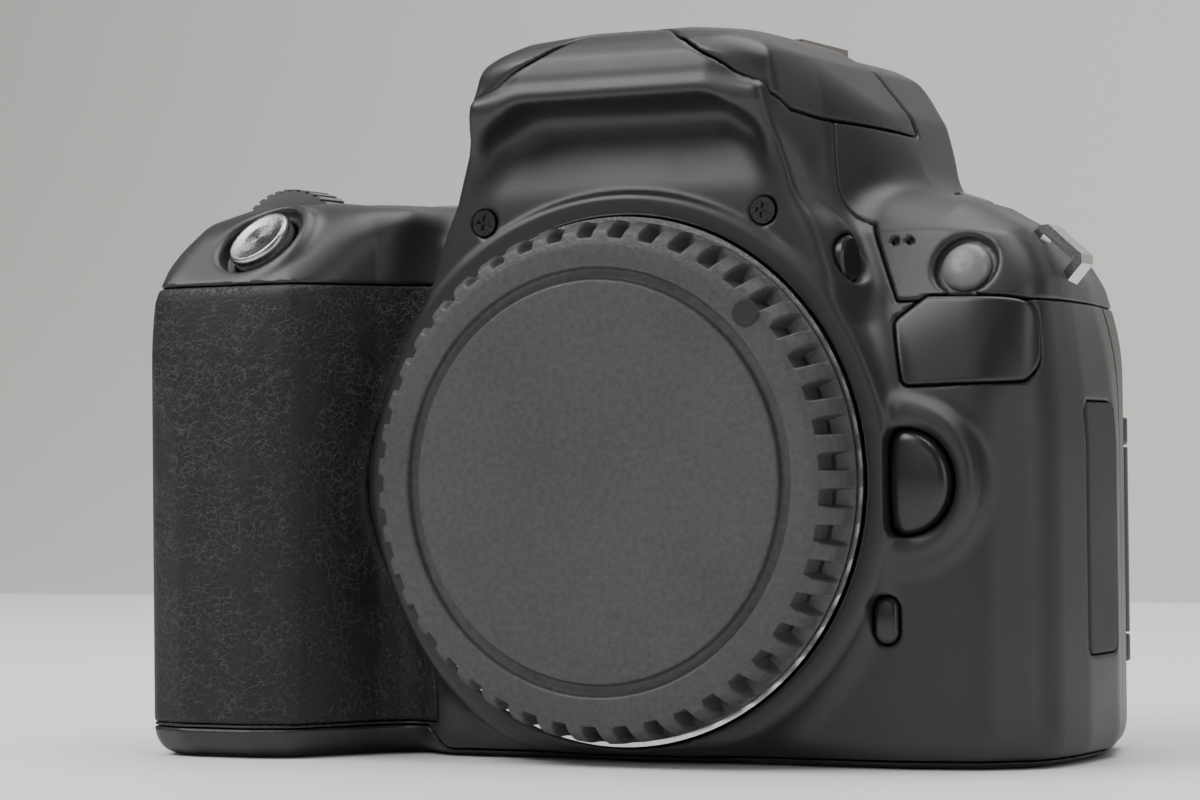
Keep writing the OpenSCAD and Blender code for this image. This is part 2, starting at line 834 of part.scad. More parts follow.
module lcd_arm() {
    color(black) {
        difference() {
            union() {
                rod_z(lcd_pivot[0], lcd_pivot[1], 14.9, 39.1, barrel_r);
                block(39.1, lcd_pivot[0], 18.9, 22.9, 17.6, 36.4);
            }
            rod_z(lcd_pivot[0], lcd_pivot[1], 10, 50, 1.2);
        }
        rod_x(33.9, 39.3, lcd_pivot[1], 27, 1.6);
    }
    color(steel) rod_z(lcd_pivot[0], lcd_pivot[1], 11.2, 42.8, 1.2);
}

module lcd_panel() {
    color(black) difference() {
        intersection() {
            along_y(lcd_y0, lcd_y0 + lcd_t) outline([[lcd_x0, lcd_z0], [lcd_x0 + lcd_w, lcd_z0],
                [lcd_x0 + lcd_w, lcd_z0 + lcd_h], [lcd_x0, lcd_z0 + lcd_h]], [3, 3, 3, 3]);
            along_x(-60, 60) outline([[lcd_y0, lcd_z0], [lcd_y0 + lcd_t, lcd_z0],
                [lcd_y0 + lcd_t, lcd_z0 + lcd_h], [lcd_y0, lcd_z0 + lcd_h]], [1, 1.4, 1.4, 1]);
        }
        block(lcd_x0 + lcd_w - 3, 60, 10, 40, 17.2, 36.8);
        rod_x(32.9, 50, lcd_pivot[1], 27, 1.6 + run);
        block(lcd_x0 + 4, lcd_x0 + lcd_w - 4.8, lcd_y0 - 1, lcd_y0 + 1.2, lcd_z0 + 5, lcd_z0 + 49.4);
    }
}

module lcd_glass() {
    color([0.04, 0.04, 0.05]) block(lcd_x0 + 4, lcd_x0 + lcd_w - 4.8, lcd_y0 + 0.1, lcd_y0 + 1.2,
        lcd_z0 + 5, lcd_z0 + 49.4);
}

// ---- doors -----------------------------------------------------------------

module battery_door() {
    color(black) difference() {
        union() {
            along_z(0, 1.8) outline(door_pts, door_c, 0);
            rod_y(-30.6, -18.4, 9, 1.3, 1.1);
        }
        rod_y(-30.6, -40, 20, 1.3, 0.5);
        block(-62, -59, -16, -6, -1, 0.5);
    }
}

module side_port_cover() {
    color(soft_black) {
        along_z(13.4, 44.6) outline([[53, -9.2], [54.4, -9.2], [54.4, 1.2], [53, 1.2]], [0.4, 0.6, 0.2, 0.2]);
        rod_z(54, 1.2, 13.4, 44.6, 0.4);
    }
}

module grip_port_cover() {
    color(soft_black) difference() {
        intersection() {
            union() {
                main_form();
                grip_form();
            }
            block(-80, -60, port_y0, port_y1, port_z0, port_z1);
        }
        main_form(1.2);
        block(-65.2, 0, 0, 60, 0, 90);
    }
}

// ---- inside ----------------------------------------------------------------

module chassis() {
    color(steel) difference() {
        union() {
            block(-27, 45, -20, 6, 2.2, 3.6);
            rod_z(0, 0, 0, 3.6, 7);
            rod_z(0, 0, 3, 9, 4.4);
            block(-27, -26, -20, 6, 3.6, 56);
            block(44, 45, -18.4, 6, 3.6, 46);
        }
        rod_z(0, 0, -1, 6.5, 2.55);
    }
}

module mirror_box() {
    color(soft_black) difference() {
        block(-20, 20, -24.6, 4.4, 18, 56.2);
        block(-18, 18, -30, 3.2, 19.2, 54.6);
        block(-11.6, 11.6, 0, 10, axis_z - 8, axis_z + 8);
        block(-12.4, 12.4, -19.4, -1, 50, 60);
    }
}

module focusing_screen() {
    color([0.85, 0.87, 0.88, 0.6]) block(-12.2, 12.2, -19.2, -1.2, 55.2, 56.2);
}

module mirror() {
    color(steel) translate([0, 1.5, 46]) rotate([45, 0, 0]) {
        block(-15.5, 15.5, -26.6, -1.2, -1.4, -0.2);
        rod_x(-17.6, 17.6, 0, 0, 0.8);
        block(-6, 6, -1.3, 0, -1.4, -0.2);
    }
}

module sub_mirror() {
    color(steel) translate([0, 1.5, 46]) rotate([45, 0, 0]) {
        translate([0, -13, -2.6]) {
            block(-7, 7, -0.3, 0.3, -9, -0.2);
            rod_x(-7, 7, 0, 0, 0.6);
        }
    }
}

module pentamirror() {
    color(soft_black) along_x(-13.5, 13.5) polygon([[-20, 57.4], [8, 57.4], [14, 69], [14, 78.6],
        [8, 77], [-8, 77], [-20, 66]]);
}

module eyepiece_lens() {
    color([0.75, 0.8, 0.82, 0.4]) along_y(20, 22.4) translate([0, 75]) square([20.6, 12.6], center = true);
}

module shutter_frame() {
    color(soft_black) difference() {
        block(-20, 20, 4.6, 9.6, 6, 56);
        block(-11.6, 11.6, 0, 20, axis_z - 8, axis_z + 8);
        block(-13, 13, 6.2, 8, 8, 46);
    }
}

module shutter_curtain() {
    color([0.12, 0.12, 0.12]) block(-12.6, 12.6, 6.6, 7.6, axis_z - 9, axis_z + 9);
}

module image_sensor() {
    color([0.16, 0.22, 0.2]) {
        block(-11.6, 11.6, image_y - 2, image_y - 1, axis_z - 7.8, axis_z + 7.8);
        block(-16, 16, image_y - 1, image_y + 0.4, axis_z - 12, axis_z + 12);
    }
}

module main_board() {
    color([0.05, 0.28, 0.16]) {
        block(-24, 42, 14.8, 15.8, 8, 56);
        block(20, 30, 13.4, 14.8, 12, 22);
        block(24, 38, 13.6, 14.8, 30, 44);
    }
}

module battery() {
    color(soft_black) block(-62, -46, -31, 1, 4, 44);
}

module sd_card() {
    color([0.1, 0.15, 0.4]) block(-42, -39.9, -21, 3, 4, 36);
}

// ---- trim and fasteners ----------------------------------------------------

module name_plate() {
    color(soft_black) difference() {
        intersection() {
            main_form(-0.35);
            along_y(-40, 0) outline(plate_pts, plate_c);
        }
        main_form(0.9);
        block(0, 54.2, -60, 0, side_seam + 3, 90);
    }
}

module af_lamp() {
    color([0.7, 0.7, 0.68]) on_front(42.4, -19.2, 61.6, 24) {
        translate([0, 0, -1.4]) cylinder(h = 1.4, r = 3.2);
        cylinder(h = 0.7, r1 = 3, r2 = 2.2);
    }
}

module body_screws() {
    color(black) {
        for (s = [-1, 1]) difference() {
            rod_y(s * 19.6, -28.75, -27.95, 68.5, 1.65);
            for (a = [0, 90]) translate([s * 19.6, -28.9, 68.5]) rotate([0, a + 10, 0])
                cube([1.9, 0.9, 0.5], center = true);
        }
        for (p = base_screws) difference() {
            rod_z(p[0], p[1], 0.05, 0.85, 1.65);
            for (a = [0, 90]) translate([p[0], p[1], 0]) rotate(a) cube([1.9, 0.5, 0.9], center = true);
        }
    }
}

front_cover();
top_cover();
rear_cover();
base_cover();
grip_rubber();
thumb_rubber();
mount_ring();
mirror_box();
chassis();
pentamirror();
focusing_screen();
eyepiece_lens();
image_sensor();
main_board();
shutter_frame();
shutter_curtain();
battery();
sd_card();
hot_shoe();
strap_lugs();
name_plate();
af_lamp();
body_screws();
body_cap();
release_button();
lock_pin();
preview_button();
flash_button();
flash_head();
flash_window();
shutter_button();
main_dial();
mode_dial();
power_lever();
iso_button();
display_button();
wifi_button();
diopter_dial();
menu_button();
info_button();
live_view_button();
exposure_button();
playback_button();
erase_button();
ae_lock_button();
af_point_button();
up_key();
down_key();
left_key();
right_key();
set_button();
lcd_arm();
lcd_panel();
lcd_glass();
battery_door();
side_port_cover();
grip_port_cover();
mirror();
sub_mirror();
eyecup();
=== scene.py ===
"""The finished looks of the dslr camera, on the bodies of the shared frame.

The covers are cut from one distance field of the body, so they meet along their seams.
All shapes are in mm, in the frame of the row: X to the right seen from the front, Y back, Z up.
"""
import bpy
import math
import numpy as np
from mathutils import Matrix, Vector


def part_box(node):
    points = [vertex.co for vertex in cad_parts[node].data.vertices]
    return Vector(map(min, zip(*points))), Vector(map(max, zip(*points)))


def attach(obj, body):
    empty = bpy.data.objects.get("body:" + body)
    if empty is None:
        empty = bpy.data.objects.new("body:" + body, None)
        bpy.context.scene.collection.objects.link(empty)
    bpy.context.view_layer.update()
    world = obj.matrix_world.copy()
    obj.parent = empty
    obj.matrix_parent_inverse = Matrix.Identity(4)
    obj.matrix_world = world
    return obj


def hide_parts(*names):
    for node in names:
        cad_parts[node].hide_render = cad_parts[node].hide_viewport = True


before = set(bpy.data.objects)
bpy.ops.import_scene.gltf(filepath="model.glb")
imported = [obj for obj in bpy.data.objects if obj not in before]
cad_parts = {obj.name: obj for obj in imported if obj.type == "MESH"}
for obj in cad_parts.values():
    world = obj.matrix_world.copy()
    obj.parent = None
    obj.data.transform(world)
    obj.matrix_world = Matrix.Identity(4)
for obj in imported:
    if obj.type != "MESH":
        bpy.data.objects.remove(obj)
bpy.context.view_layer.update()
MM = 0.001
F = np.float32


def box_mm(node):
    lo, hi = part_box(node)
    return np.array(lo) / MM, np.array(hi) / MM


# ---------------------------------------------------------------- places
cap_lo, cap_hi = box_mm("body_cap")
ring_lo, ring_hi = box_mm("mount_ring")
AXIS_Z = float((ring_lo[2] + ring_hi[2]) / 2)
RING_R = float((ring_hi[0] - ring_lo[0]) / 2)
FLANGE = float(ring_lo[1])
CAP_R = float((cap_hi[0] - cap_lo[0]) / 2)
CAP_FACE = float(cap_lo[1])
REAR = 21.5
DECK = 72.5
BOSS_R, BOSS_FRONT = 36.2, -29.45
MOUNT_BORE_R = 28.6
PARTING_GAP = 0.07
LIP_DEPTH = 1.7
LID_BACK = 4.3
# The rear screen's bay and hinge, and the seat of the cover on the grip's side.
SCREEN_BAY = ((-24.35, 17.6, 4.45), (42.3, 40, 59.55))
HINGE_BAY = ((40, 17.6, 10.6), (60, 40, 43.4))
HINGE_X, HINGE_Y, EAR_R, EAR_LENGTH = 46.2, 20.9, 2.7, 3.6
EAR_FEET = (11, 39.4)
GRIP_PORT_SEAT = ((-80, 8.25, 11.65), (-64.85, 14.35, 46.35))
SHOE_SEAT = ((-10.2, 5.9, 88.6), (10.2, 24, 99))
# The horseshoe ridge round the release button: its radii, its depth in Y and its own radius.
RIDGE_RX, RIDGE_RZ, RIDGE_Y, RIDGE_R = 8.3, 8.5, -25.9, 1.35
SWELL_TOP, SWELL_FOOT, SWELL_R = (26.2, -23.8, 64.8), (26.8, -23.8, 59.4), 2.3
MICROPHONES, MIC_Y, MIC_Z = (32.6, 34.6), -19.6, 65.4
DIAL_SLOT_R, DIAL_SLOT_HALF = 9.5, 3.6
MODE_WELL_R, MODE_WELL_FLOOR = 11.3, 65.4
TOWER_SCREW_X, TOWER_SCREW_Z = 19.6, 68.5

# ---------------------------------------------------------------- fields


def smin(a, b, k):
    h = np.maximum(k - np.abs(a - b), 0) / k
    return np.minimum(a, b) - h * h * (k * 0.25)


def smax(a, b, k):
    h = np.maximum(k - np.abs(a - b), 0) / k
    return np.maximum(a, b) + h * h * (k * 0.25)


def ss(a, b, x):
    t = np.clip((x - a) / (b - a), 0, 1)
    return t * t * (3 - 2 * t)


def inset(pts, t):
    p = np.array(pts, float)
    d = np.roll(p, -1, 0) - p
    d /= np.linalg.norm(d, axis=1)[:, None]
    n = np.stack([-d[:, 1], d[:, 0]], 1)
    a, b = np.roll(n, 1, 0), n
    return p + t * (a + b) / (1 + (a * b).sum(1))[:, None]


def poly(u, v, pts):
    p = np.array(pts, float)
    q = np.roll(p, -1, 0)
    best = np.full(u.shape, 1e9, F)
    inside = np.zeros(u.shape, bool)
    for a, b in zip(p, q):
        e = b - a
        wu, wv = u - F(a[0]), v - F(a[1])
        t = np.clip((wu * F(e[0]) + wv * F(e[1])) / F(e @ e), 0, 1)
        du, dv = wu - t * F(e[0]), wv - t * F(e[1])
        best = np.minimum(best, du * du + dv * dv)
        c1, c2 = v >= F(a[1]), v < F(b[1])
        c3 = F(e[0]) * wv > F(e[1]) * wu
        inside ^= (c1 & c2 & c3) | (~c1 & ~c2 & ~c3)
    d = np.sqrt(best)
    return np.where(inside, -d, d)


def rpoly(u, v, pts, r):
    return poly(u, v, inset(pts, r)) - F(r)


def box3(x, y, z, lo, hi, r=0.0):
    d = [np.maximum(F(l + r) - a, a - F(h - r)) for a, l, h in zip((x, y, z), lo, hi)]
    out = np.sqrt(sum(np.maximum(a, 0) ** 2 for a in d))
    return out + np.minimum(np.maximum(np.maximum(d[0], d[1]), d[2]), 0) - F(r)


def cyl(u, v, w, cu, cv, r, w0, w1):
    """Cylinder about (cu, cv), from w0 to w1."""
    return np.maximum(np.hypot(u - F(cu), v - F(cv)) - F(r), np.maximum(F(w0) - w, w - F(w1)))


def disc(x, y, z, at, n, r, a, b, e=0.0):
    """Cylinder along the unit normal n through at, from a to b, edges rounded by e."""
    dx, dy, dz = x - F(at[0]), y - F(at[1]), z - F(at[2])
    h = dx * F(n[0]) + dy * F(n[1]) + dz * F(n[2])
    q = np.sqrt(np.maximum(dx * dx + dy * dy + dz * dz - h * h, 0))
    m = np.maximum(F(a + e) - h, h - F(b - e))
    k = q - F(r - e)
    return np.hypot(np.maximum(m, 0), np.maximum(k, 0)) + np.minimum(np.maximum(m, k), 0) - F(e)


def capsule(x, y, z, a, b, r):
    a, b = np.array(a, float), np.array(b, float)
    e = b - a
    wx, wy, wz = x - F(a[0]), y - F(a[1]), z - F(a[2])
    t = np.clip((wx * F(e[0]) + wy * F(e[1]) + wz * F(e[2])) / F(e @ e), 0, 1)
    dx, dy, dz = wx - t * F(e[0]), wy - t * F(e[1]), wz - t * F(e[2])
    return np.sqrt(dx ** 2 + dy ** 2 + dz ** 2) - F(r)


# ---------------------------------------------------------------- meshing


def evaluate(f, pts):
    out = np.empty(len(pts), F)
    for i in range(0, len(pts), 400000):
        q = pts[i:i + 400000].astype(F)
        out[i:i + 400000] = f(q[:, 0], q[:, 1], q[:, 2])
    return out


def surface(f, lo, hi, h):
    """Surface net of f = 0 in a box, from a narrow band of grid points."""
    lo = np.array(lo, float)
    n = np.ceil((np.array(hi, float) - lo) / h).astype(int) + 1
    g = np.stack(np.meshgrid(*[np.arange(0, k, 16) for k in n], indexing="ij"), -1).reshape(-1, 3)
    for s, sub in ((16, 4), (4, 1)):
        v = evaluate(f, lo + (g + s / 2) * h)
        g = g[np.abs(v) < s * h * 0.95 + 0.3]
        k = np.arange(0, s, sub) if sub > 1 else np.arange(0, s + 1)
        o = np.stack(np.meshgrid(k, k, k, indexing="ij"), -1).reshape(-1, 3)
        g = (g[:, None] + o[None]).reshape(-1, 3)
    m = 4096
    key = np.unique((g[:, 0] * m + g[:, 1]) * m + g[:, 2])
    g = np.stack([key // (m * m), key // m % m, key % m], 1)
    val = evaluate(f, lo + g * h)
    step = [m * m, m, 1]
    cells, pos, quads = [], [], []
    for a in range(3):
        at = np.searchsorted(key, key + step[a])
        at[at >= len(key)] = 0
        ok = key[at] == key + step[a]
        ok &= (val < 0) != (val[at] < 0)
        i = np.nonzero(ok)[0]
        j = at[i]
        t = val[i] / (val[i] - val[j])
        p = g[i].astype(float)
        p[:, a] += t
        b, c = (a + 1) % 3, (a + 2) % 3
        four = [key[i] - step[b] * u - step[c] * w for u, w in ((0, 0), (1, 0), (1, 1), (0, 1))]
        flip = val[i] > 0
        q = np.stack(four, 1)
        q[flip] = q[flip][:, ::-1]
        quads.append(q)
        cells.append(np.stack(four, 1).reshape(-1))
        pos.append(np.repeat(p, 4, 0))
    cells, pos, quads = np.concatenate(cells), np.concatenate(pos), np.concatenate(quads)
    ids, inv, cnt = np.unique(cells, return_inverse=True, return_counts=True)
    vert = np.stack([np.bincount(inv, pos[:, k]) / cnt for k in range(3)], 1)
    vert = lo + vert * h
    for _ in range(2):
        d = 0.03
        f0 = evaluate(f, vert)
        gr = np.stack([evaluate(f, vert + d * e) - f0 for e in np.eye(3)], 1) / d
        s = f0 / np.maximum((gr * gr).sum(1), 0.3)
        vert -= np.clip(gr * s[:, None], -h * 0.5, h * 0.5)
    return vert, np.searchsorted(ids, quads)


def from_arrays(name, vert, faces, mat, smooth=True):
    """A mesh object from points in mm and faces with equal numbers of corners."""
    me = bpy.data.meshes.new(name)
    me.vertices.add(len(vert))
    me.vertices.foreach_set("co", (np.asarray(vert) * MM).astype(F).ravel())
    k = faces.shape[1]
    me.loops.add(faces.size)
    me.loops.foreach_set("vertex_index", faces.astype(np.int32).ravel())
    me.polygons.add(len(faces))
    me.polygons.foreach_set("loop_start", np.arange(0, faces.size, k, dtype=np.int32))
    me.update(calc_edges=True)
    me.validate()
    if smooth:
        me.polygons.foreach_set("use_smooth", np.ones(len(me.polygons), bool))
    me.materials.append(mat)
    ob = bpy.data.objects.new(name, me)
    bpy.context.scene.collection.objects.link(ob)
    return ob


def piece(ob, body, *nodes, slot):
    """Puts a piece on its body and hides the CAD nodes it replaces."""
    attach(ob, body)
    if nodes:
        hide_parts(*nodes)


def shell_piece(name, f, region, lo, hi, h, mat):
    """A cover: the body's surface inside a region, with a lip turned in along its edges."""
    h = h * 1.0

    def g(x, y, z):
        return smax(f(x, y, z), region(x, y, z), 0.35)

    vert, faces = surface(g, lo, hi, h)
    c = vert[faces].mean(1)
    d = evaluate(f, c)
    faces = faces[d > -LIP_DEPTH]
    used = np.unique(faces)
    remap = np.full(len(vert), -1)
    remap[used] = np.arange(len(used))
    return from_arrays(name, vert[used], remap[faces], mat)


def solid_piece(name, f, lo, hi, h, mat):
    vert, faces = surface(f, lo, hi, h * (1.0))
    return from_arrays(name, vert, faces, mat)


def frame_matrix(at, n):
    """Columns: a local frame whose Z is n."""
    n = Vector(n).normalized()
    u = Vector((0, 0, 1))
    if abs(u.dot(n)) > 0.95:
        u = Vector((0, -1, 0))
    x = u.cross(n).normalized()
    y = n.cross(x)
    m = np.eye(4)
    m[:3, 0], m[:3, 1], m[:3, 2], m[:3, 3] = x, y, n, at
    return m


def lathe(name, prof, m, mat, segs, mod=None):
    """Revolves (radius, height) points about local Z. mod(radius, height, angle) may move them."""
    prof = np.array(prof, float)
    segs = max(24, segs // 3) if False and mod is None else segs
    a = np.arange(segs) * 2 * math.pi / segs
    r = np.repeat(prof[:, :1], segs, 1)
    z = np.repeat(prof[:, 1:2], segs, 1)
    if mod is not None:
        r, z = mod(r, z, a[None, :])
    v = np.stack([r * np.cos(a), r * np.sin(a), z, np.ones_like(r)], -1).reshape(-1, 4)
    v = (v @ m.T)[:, :3]
    k = len(prof)
    i, j = np.meshgrid(np.arange(k - 1), np.arange(segs), indexing="ij")
    i, j = i.ravel(), j.ravel()
    i2, j2 = i + 1, (j + 1) % segs
    q = np.stack([i * segs + j, i * segs + j2, i2 * segs + j2, i2 * segs + j], 1)
    return from_arrays(name, v, q, mat)


def fillet(prof, r, n=4):
    """Rounds the inner corners of a profile."""
    p = [np.array(q, float) for q in prof]
    out = [p[0]]
    for a, b, c in zip(p[:-2], p[1:-1], p[2:]):
        u, w = a - b, c - b
        k = min(r, 0.45 * np.linalg.norm(u), 0.45 * np.linalg.norm(w))
        s, e = b + u / np.linalg.norm(u) * k, b + w / np.linalg.norm(w) * k
        out += [(1 - t) ** 2 * s + 2 * t * (1 - t) * b + t * t * e for t in np.linspace(0, 1, n + 1)]
    return [tuple(q) for q in out + [p[-1]]]


# ---------------------------------------------------------------- materials


class Nodes:
    def __init__(self, name):
        self.mat = bpy.data.materials.new(name)
        self.mat.use_nodes = True
        self.t = self.mat.node_tree
        self.bsdf = self.t.nodes["Principled BSDF"]
        self.co = self.t.nodes.new("ShaderNodeTexCoord").outputs["Object"]

    def put(self, **k):
        for a, b in k.items():
            self.bsdf.inputs[a.replace("_", " ")].default_value = b

    def noise(self, scale, detail=2.0, rough=0.5):
        n = self.t.nodes.new("ShaderNodeTexNoise")
        n.inputs["Scale"].default_value = scale
        n.inputs["Detail"].default_value = detail
        n.inputs["Roughness"].default_value = rough
        self.t.links.new(self.co, n.inputs["Vector"])
        return n.outputs["Fac"]

    def edges(self, scale, co):
        """Distance to the borders of Voronoi cells."""
        n = self.t.nodes.new("ShaderNodeTexVoronoi")
        n.feature = "DISTANCE_TO_EDGE"
        n.inputs["Scale"].default_value = scale
        n.inputs["Randomness"].default_value = 1.0
        self.t.links.new(co, n.inputs["Vector"])
        return n.outputs["Distance"]

    def math(self, op, a, b=None):
        n = self.t.nodes.new("ShaderNodeMath")
        n.operation = op
        for i, s in enumerate((a, b)):
            if s is None:
                continue
            if isinstance(s, (int, float)):
                n.inputs[i].default_value = s
            else:
                self.t.links.new(s, n.inputs[i])
        return n.outputs[0]

    def map(self, v, a, b, c, d):
        n = self.t.nodes.new("ShaderNodeMapRange")
        for i, s in zip((1, 2, 3, 4), (a, b, c, d)):
            n.inputs[i].default_value = s
        self.t.links.new(v, n.inputs[0])
        return n.outputs[0]

    def ramp(self, v, stops):
        n = self.t.nodes.new("ShaderNodeValToRGB")
        e = n.color_ramp.elements
        while len(e) < len(stops):
            e.new(0.5)
        for el, (p, c) in zip(e, stops):
            el.position = p
            el.color = (*c, 1)
        self.t.links.new(v, n.inputs[0])
        return n.outputs[0]

    def warp(self, scale, amount):
        """Object coordinates pushed about by a noise."""
        n = self.t.nodes.new("ShaderNodeTexNoise")
        n.inputs["Scale"].default_value = scale
        n.inputs["Detail"].default_value = 3
        self.t.links.new(self.co, n.inputs["Vector"])
        m = self.t.nodes.new("ShaderNodeVectorMath")
        m.operation = "MULTIPLY_ADD"
        m.inputs[1].default_value = (amount,) * 3
        self.t.links.new(n.outputs["Color"], m.inputs[0])
        self.t.links.new(self.co, m.inputs[2])
        return m.outputs[0]

    def bump(self, height, strength, distance):
        n = self.t.nodes.new("ShaderNodeBump")
        n.inputs["Strength"].default_value = strength
        n.inputs["Distance"].default_value = distance
        self.t.links.new(height, n.inputs["Height"])
        self.t.links.new(n.outputs[0], self.bsdf.inputs["Normal"])

    def link(self, sock, name):
        self.t.links.new(sock, self.bsdf.inputs[name])


def plastic(name, dark, light, rough=(0.42, 0.56), grain=5200, amount=0.25, dist=3e-5, spec=0.5):
    """Moulded plastic: spark-eroded grain, a little cloudiness and worn sheen."""
    m = Nodes(name)
    g = m.noise(grain, 3, 0.65)
    cloud = m.noise(60, 3)
    mix = m.math("ADD", m.math("MULTIPLY", g, 0.7), m.math("MULTIPLY", cloud, 0.3))
    m.link(m.ramp(mix, [(0.3, dark), (0.7, light)]), "Base Color")
    m.link(m.map(m.math("ADD", m.math("MULTIPLY", g, 0.5), m.math("MULTIPLY", cloud, 0.5)),
                 0.3, 0.7, rough[1], rough[0]), "Roughness")
    m.bump(g, amount, dist)
    m.put(Specular_IOR_Level=spec)
    return m.mat


def leather(name):
    """Grip rubber: soft pebbles parted by fine irregular creases."""
    m = Nodes(name)
    w = m.warp(900, 0.0016)
    a = m.edges(980, w)
    b = m.edges(2100, w)
    deep = m.map(a, 0.0, 0.10, 0.0, 1.0)
    patch2 = m.map(m.noise(230, 2), 0.5, 0.64, 0.0, 1.0)
    deep = m.math("MAXIMUM", deep, m.math("MULTIPLY", patch2, 0.75))
    thin = m.map(b, 0.0, 0.10, 0.0, 1.0)
    patch = m.map(m.noise(260, 2), 0.42, 0.6, 0.0, 1.0)
    thin = m.math("MAXIMUM", thin, patch)
    h = m.math("MULTIPLY", deep, m.map(thin, 0, 1, 0.55, 1.0))
    fine_g = m.noise(6500, 2)
    height = m.math("ADD", h, m.math("MULTIPLY", fine_g, 0.16))
    m.link(m.ramp(height, [(0.1, (0.055, 0.055, 0.057)), (0.5, (0.018, 0.018, 0.0185)),
                           (1.0, (0.010, 0.010, 0.0103))]), "Base Color")
    m.link(m.map(height, 0, 1.1, 0.62, 0.5), "Roughness")
    m.bump(height, 0.9, 1.5e-4)
    m.put(Specular_IOR_Level=0.35)
    return m.mat


def metal(name, col, rough, grain, amount):
    """Bare or plated metal with a fine grain."""
    m = Nodes(name)
    g = m.noise(grain, 3, 0.6)
    m.link(m.ramp(g, [(0.3, tuple(c * 0.82 for c in col)), (0.7, col)]), "Base Color")
    m.link(m.map(g, 0.3, 0.7, rough * 0.75, rough * 1.35), "Roughness")
    m.bump(g, amount, 2e-5)
    m.put(Metallic=1.0)
    return m.mat


def turned(name, col, centre, n):
    """Aluminium faced on a lathe: rings round the axis, with a radial sheen."""
    m = Nodes(name)
    v = m.t.nodes.new("ShaderNodeVectorMath")
    v.operation = "SUBTRACT"
    v.inputs[1].default_value = tuple(c * MM for c in centre)
    m.t.links.new(m.co, v.inputs[0])
    ln = m.t.nodes.new("ShaderNodeVectorMath")
    ln.operation = "LENGTH"
    m.t.links.new(v.outputs[0], ln.inputs[0])
    r = ln.outputs["Value"]
    w = m.math("SINE", m.math("MULTIPLY", r, 24000.0))
    jit = m.noise(2500, 2)
    h = m.math("ADD", w, m.math("MULTIPLY", jit, 0.6))
    stops = [(0.0, tuple(c * 0.88 for c in col)), (1.0, col)]
    m.link(m.ramp(m.map(h, -1, 1.6, 0, 1), stops), "Base Color")
    m.link(m.map(jit, 0.3, 0.7, 0.22, 0.34), "Roughness")
    m.bump(h, 0.05, 1e-5)
    m.put(Metallic=1.0, Anisotropic=0.7)
    tg = m.t.nodes.new("ShaderNodeVectorMath")
    tg.operation = "CROSS_PRODUCT"
    m.t.links.new(v.outputs[0], tg.inputs[0])
    tg.inputs[1].default_value = n
    nm = m.t.nodes.new("ShaderNodeVectorMath")
    nm.operation = "NORMALIZE"
    m.t.links.new(tg.outputs[0], nm.inputs[0])
    m.t.links.new(nm.outputs[0], m.bsdf.inputs["Tangent"])
    return m.mat


def glass(name, tint, rough=0.05):
    m = Nodes(name)
    g = m.noise(900, 2)
    m.link(m.ramp(g, [(0.3, tuple(c * 0.9 for c in tint)), (0.7, tint)]), "Base Color")
    m.link(m.map(g, 0.3, 0.7, rough * 0.7, rough * 1.4), "Roughness")
    m.bump(g, 0.02, 1e-5)
    m.put(Transmission_Weight=0.85, IOR=1.49)
    return m.mat


BODY = plastic("body_plastic", (0.012, 0.012, 0.0123), (0.022, 0.022, 0.0225), (0.36, 0.5))
# The top cover's plastic is the body plastic painted lighter: painted light, standing in for the lamps
# falling on the top from above.
LIT_SHOULDER = plastic("top_plastic_painted_light", (0.013, 0.013, 0.0135), (0.026, 0.026, 0.027),
                   (0.36, 0.5), 4200, 0.35)
CAP = plastic("cap_plastic", (0.034, 0.0335, 0.033), (0.068, 0.067, 0.066),
              (0.48, 0.62), 1300, 0.9, 1.5e-4)
GLOSS = plastic("button_plastic", (0.008, 0.008, 0.0085), (0.013, 0.013, 0.0135),
                (0.24, 0.34), 3000, 0.08, 1e-5)
SATIN = plastic("satin_plastic", (0.012, 0.012, 0.0125), (0.018, 0.018, 0.0185),
                (0.34, 0.46), 4200, 0.12, 2e-5)
PLATE = plastic("plate_plastic", (0.009, 0.009, 0.0095), (0.015, 0.015, 0.0155),
                (0.30, 0.40), 3600, 0.12, 2e-5)
DIAL = plastic("dial_plastic", (0.10, 0.10, 0.102), (0.16, 0.16, 0.163),
               (0.36, 0.5), 3600, 0.2, 2e-5)
# Black of the mirror box and the other inner parts; on the body cap it is also the painted shade of the
# index hole.
DARK = plastic("inner_plastic_and_hole_shade", (0.010, 0.010, 0.010), (0.018, 0.018, 0.018), (0.6, 0.8), 2600, 0.3)
RUBBER = leather("grip_rubber")
SOFT = plastic("soft_rubber", (0.014, 0.0145, 0.016), (0.021, 0.022, 0.024),
               (0.5, 0.66), 3800, 0.3, 4e-5, 0.4)
STEEL = metal("ring_steel", (0.78, 0.77, 0.75), 0.2, 2600, 0.08)
CHROME = metal("lug_chrome", (0.52, 0.52, 0.52), 0.16, 2200, 0.05)
ZINC = metal("frame_metal", (0.42, 0.42, 0.41), 0.4, 1800, 0.3)
SHOE = metal("shoe_steel", (0.22, 0.22, 0.22), 0.3, 2600, 0.1)
SCREW = metal("screw_black", (0.08, 0.08, 0.082), 0.3, 2400, 0.15)
LAMP = plastic("lamp_frost", (0.13, 0.13, 0.13), (0.19, 0.19, 0.188), (0.3, 0.45), 900, 0.2, 3e-5)
LENS = glass("lens_glass", (0.9, 0.93, 0.95))
SCREEN = plastic("screen_glass", (0.006, 0.006, 0.008), (0.010, 0.010, 0.012),
                 (0.06, 0.1), 900, 0.01, 1e-5)
BOARD = plastic("board_green", (0.010, 0.075, 0.040), (0.016, 0.12, 0.06),
                (0.3, 0.45), 700, 0.4, 8e-5)
SENSOR = plastic("sensor_coat", (0.02, 0.06, 0.055), (0.035, 0.09, 0.075),
                 (0.08, 0.16), 500, 0.05, 1e-5)
CARD = plastic("card_blue", (0.01, 0.02, 0.10), (0.015, 0.03, 0.15), (0.4, 0.55), 1800, 0.2)
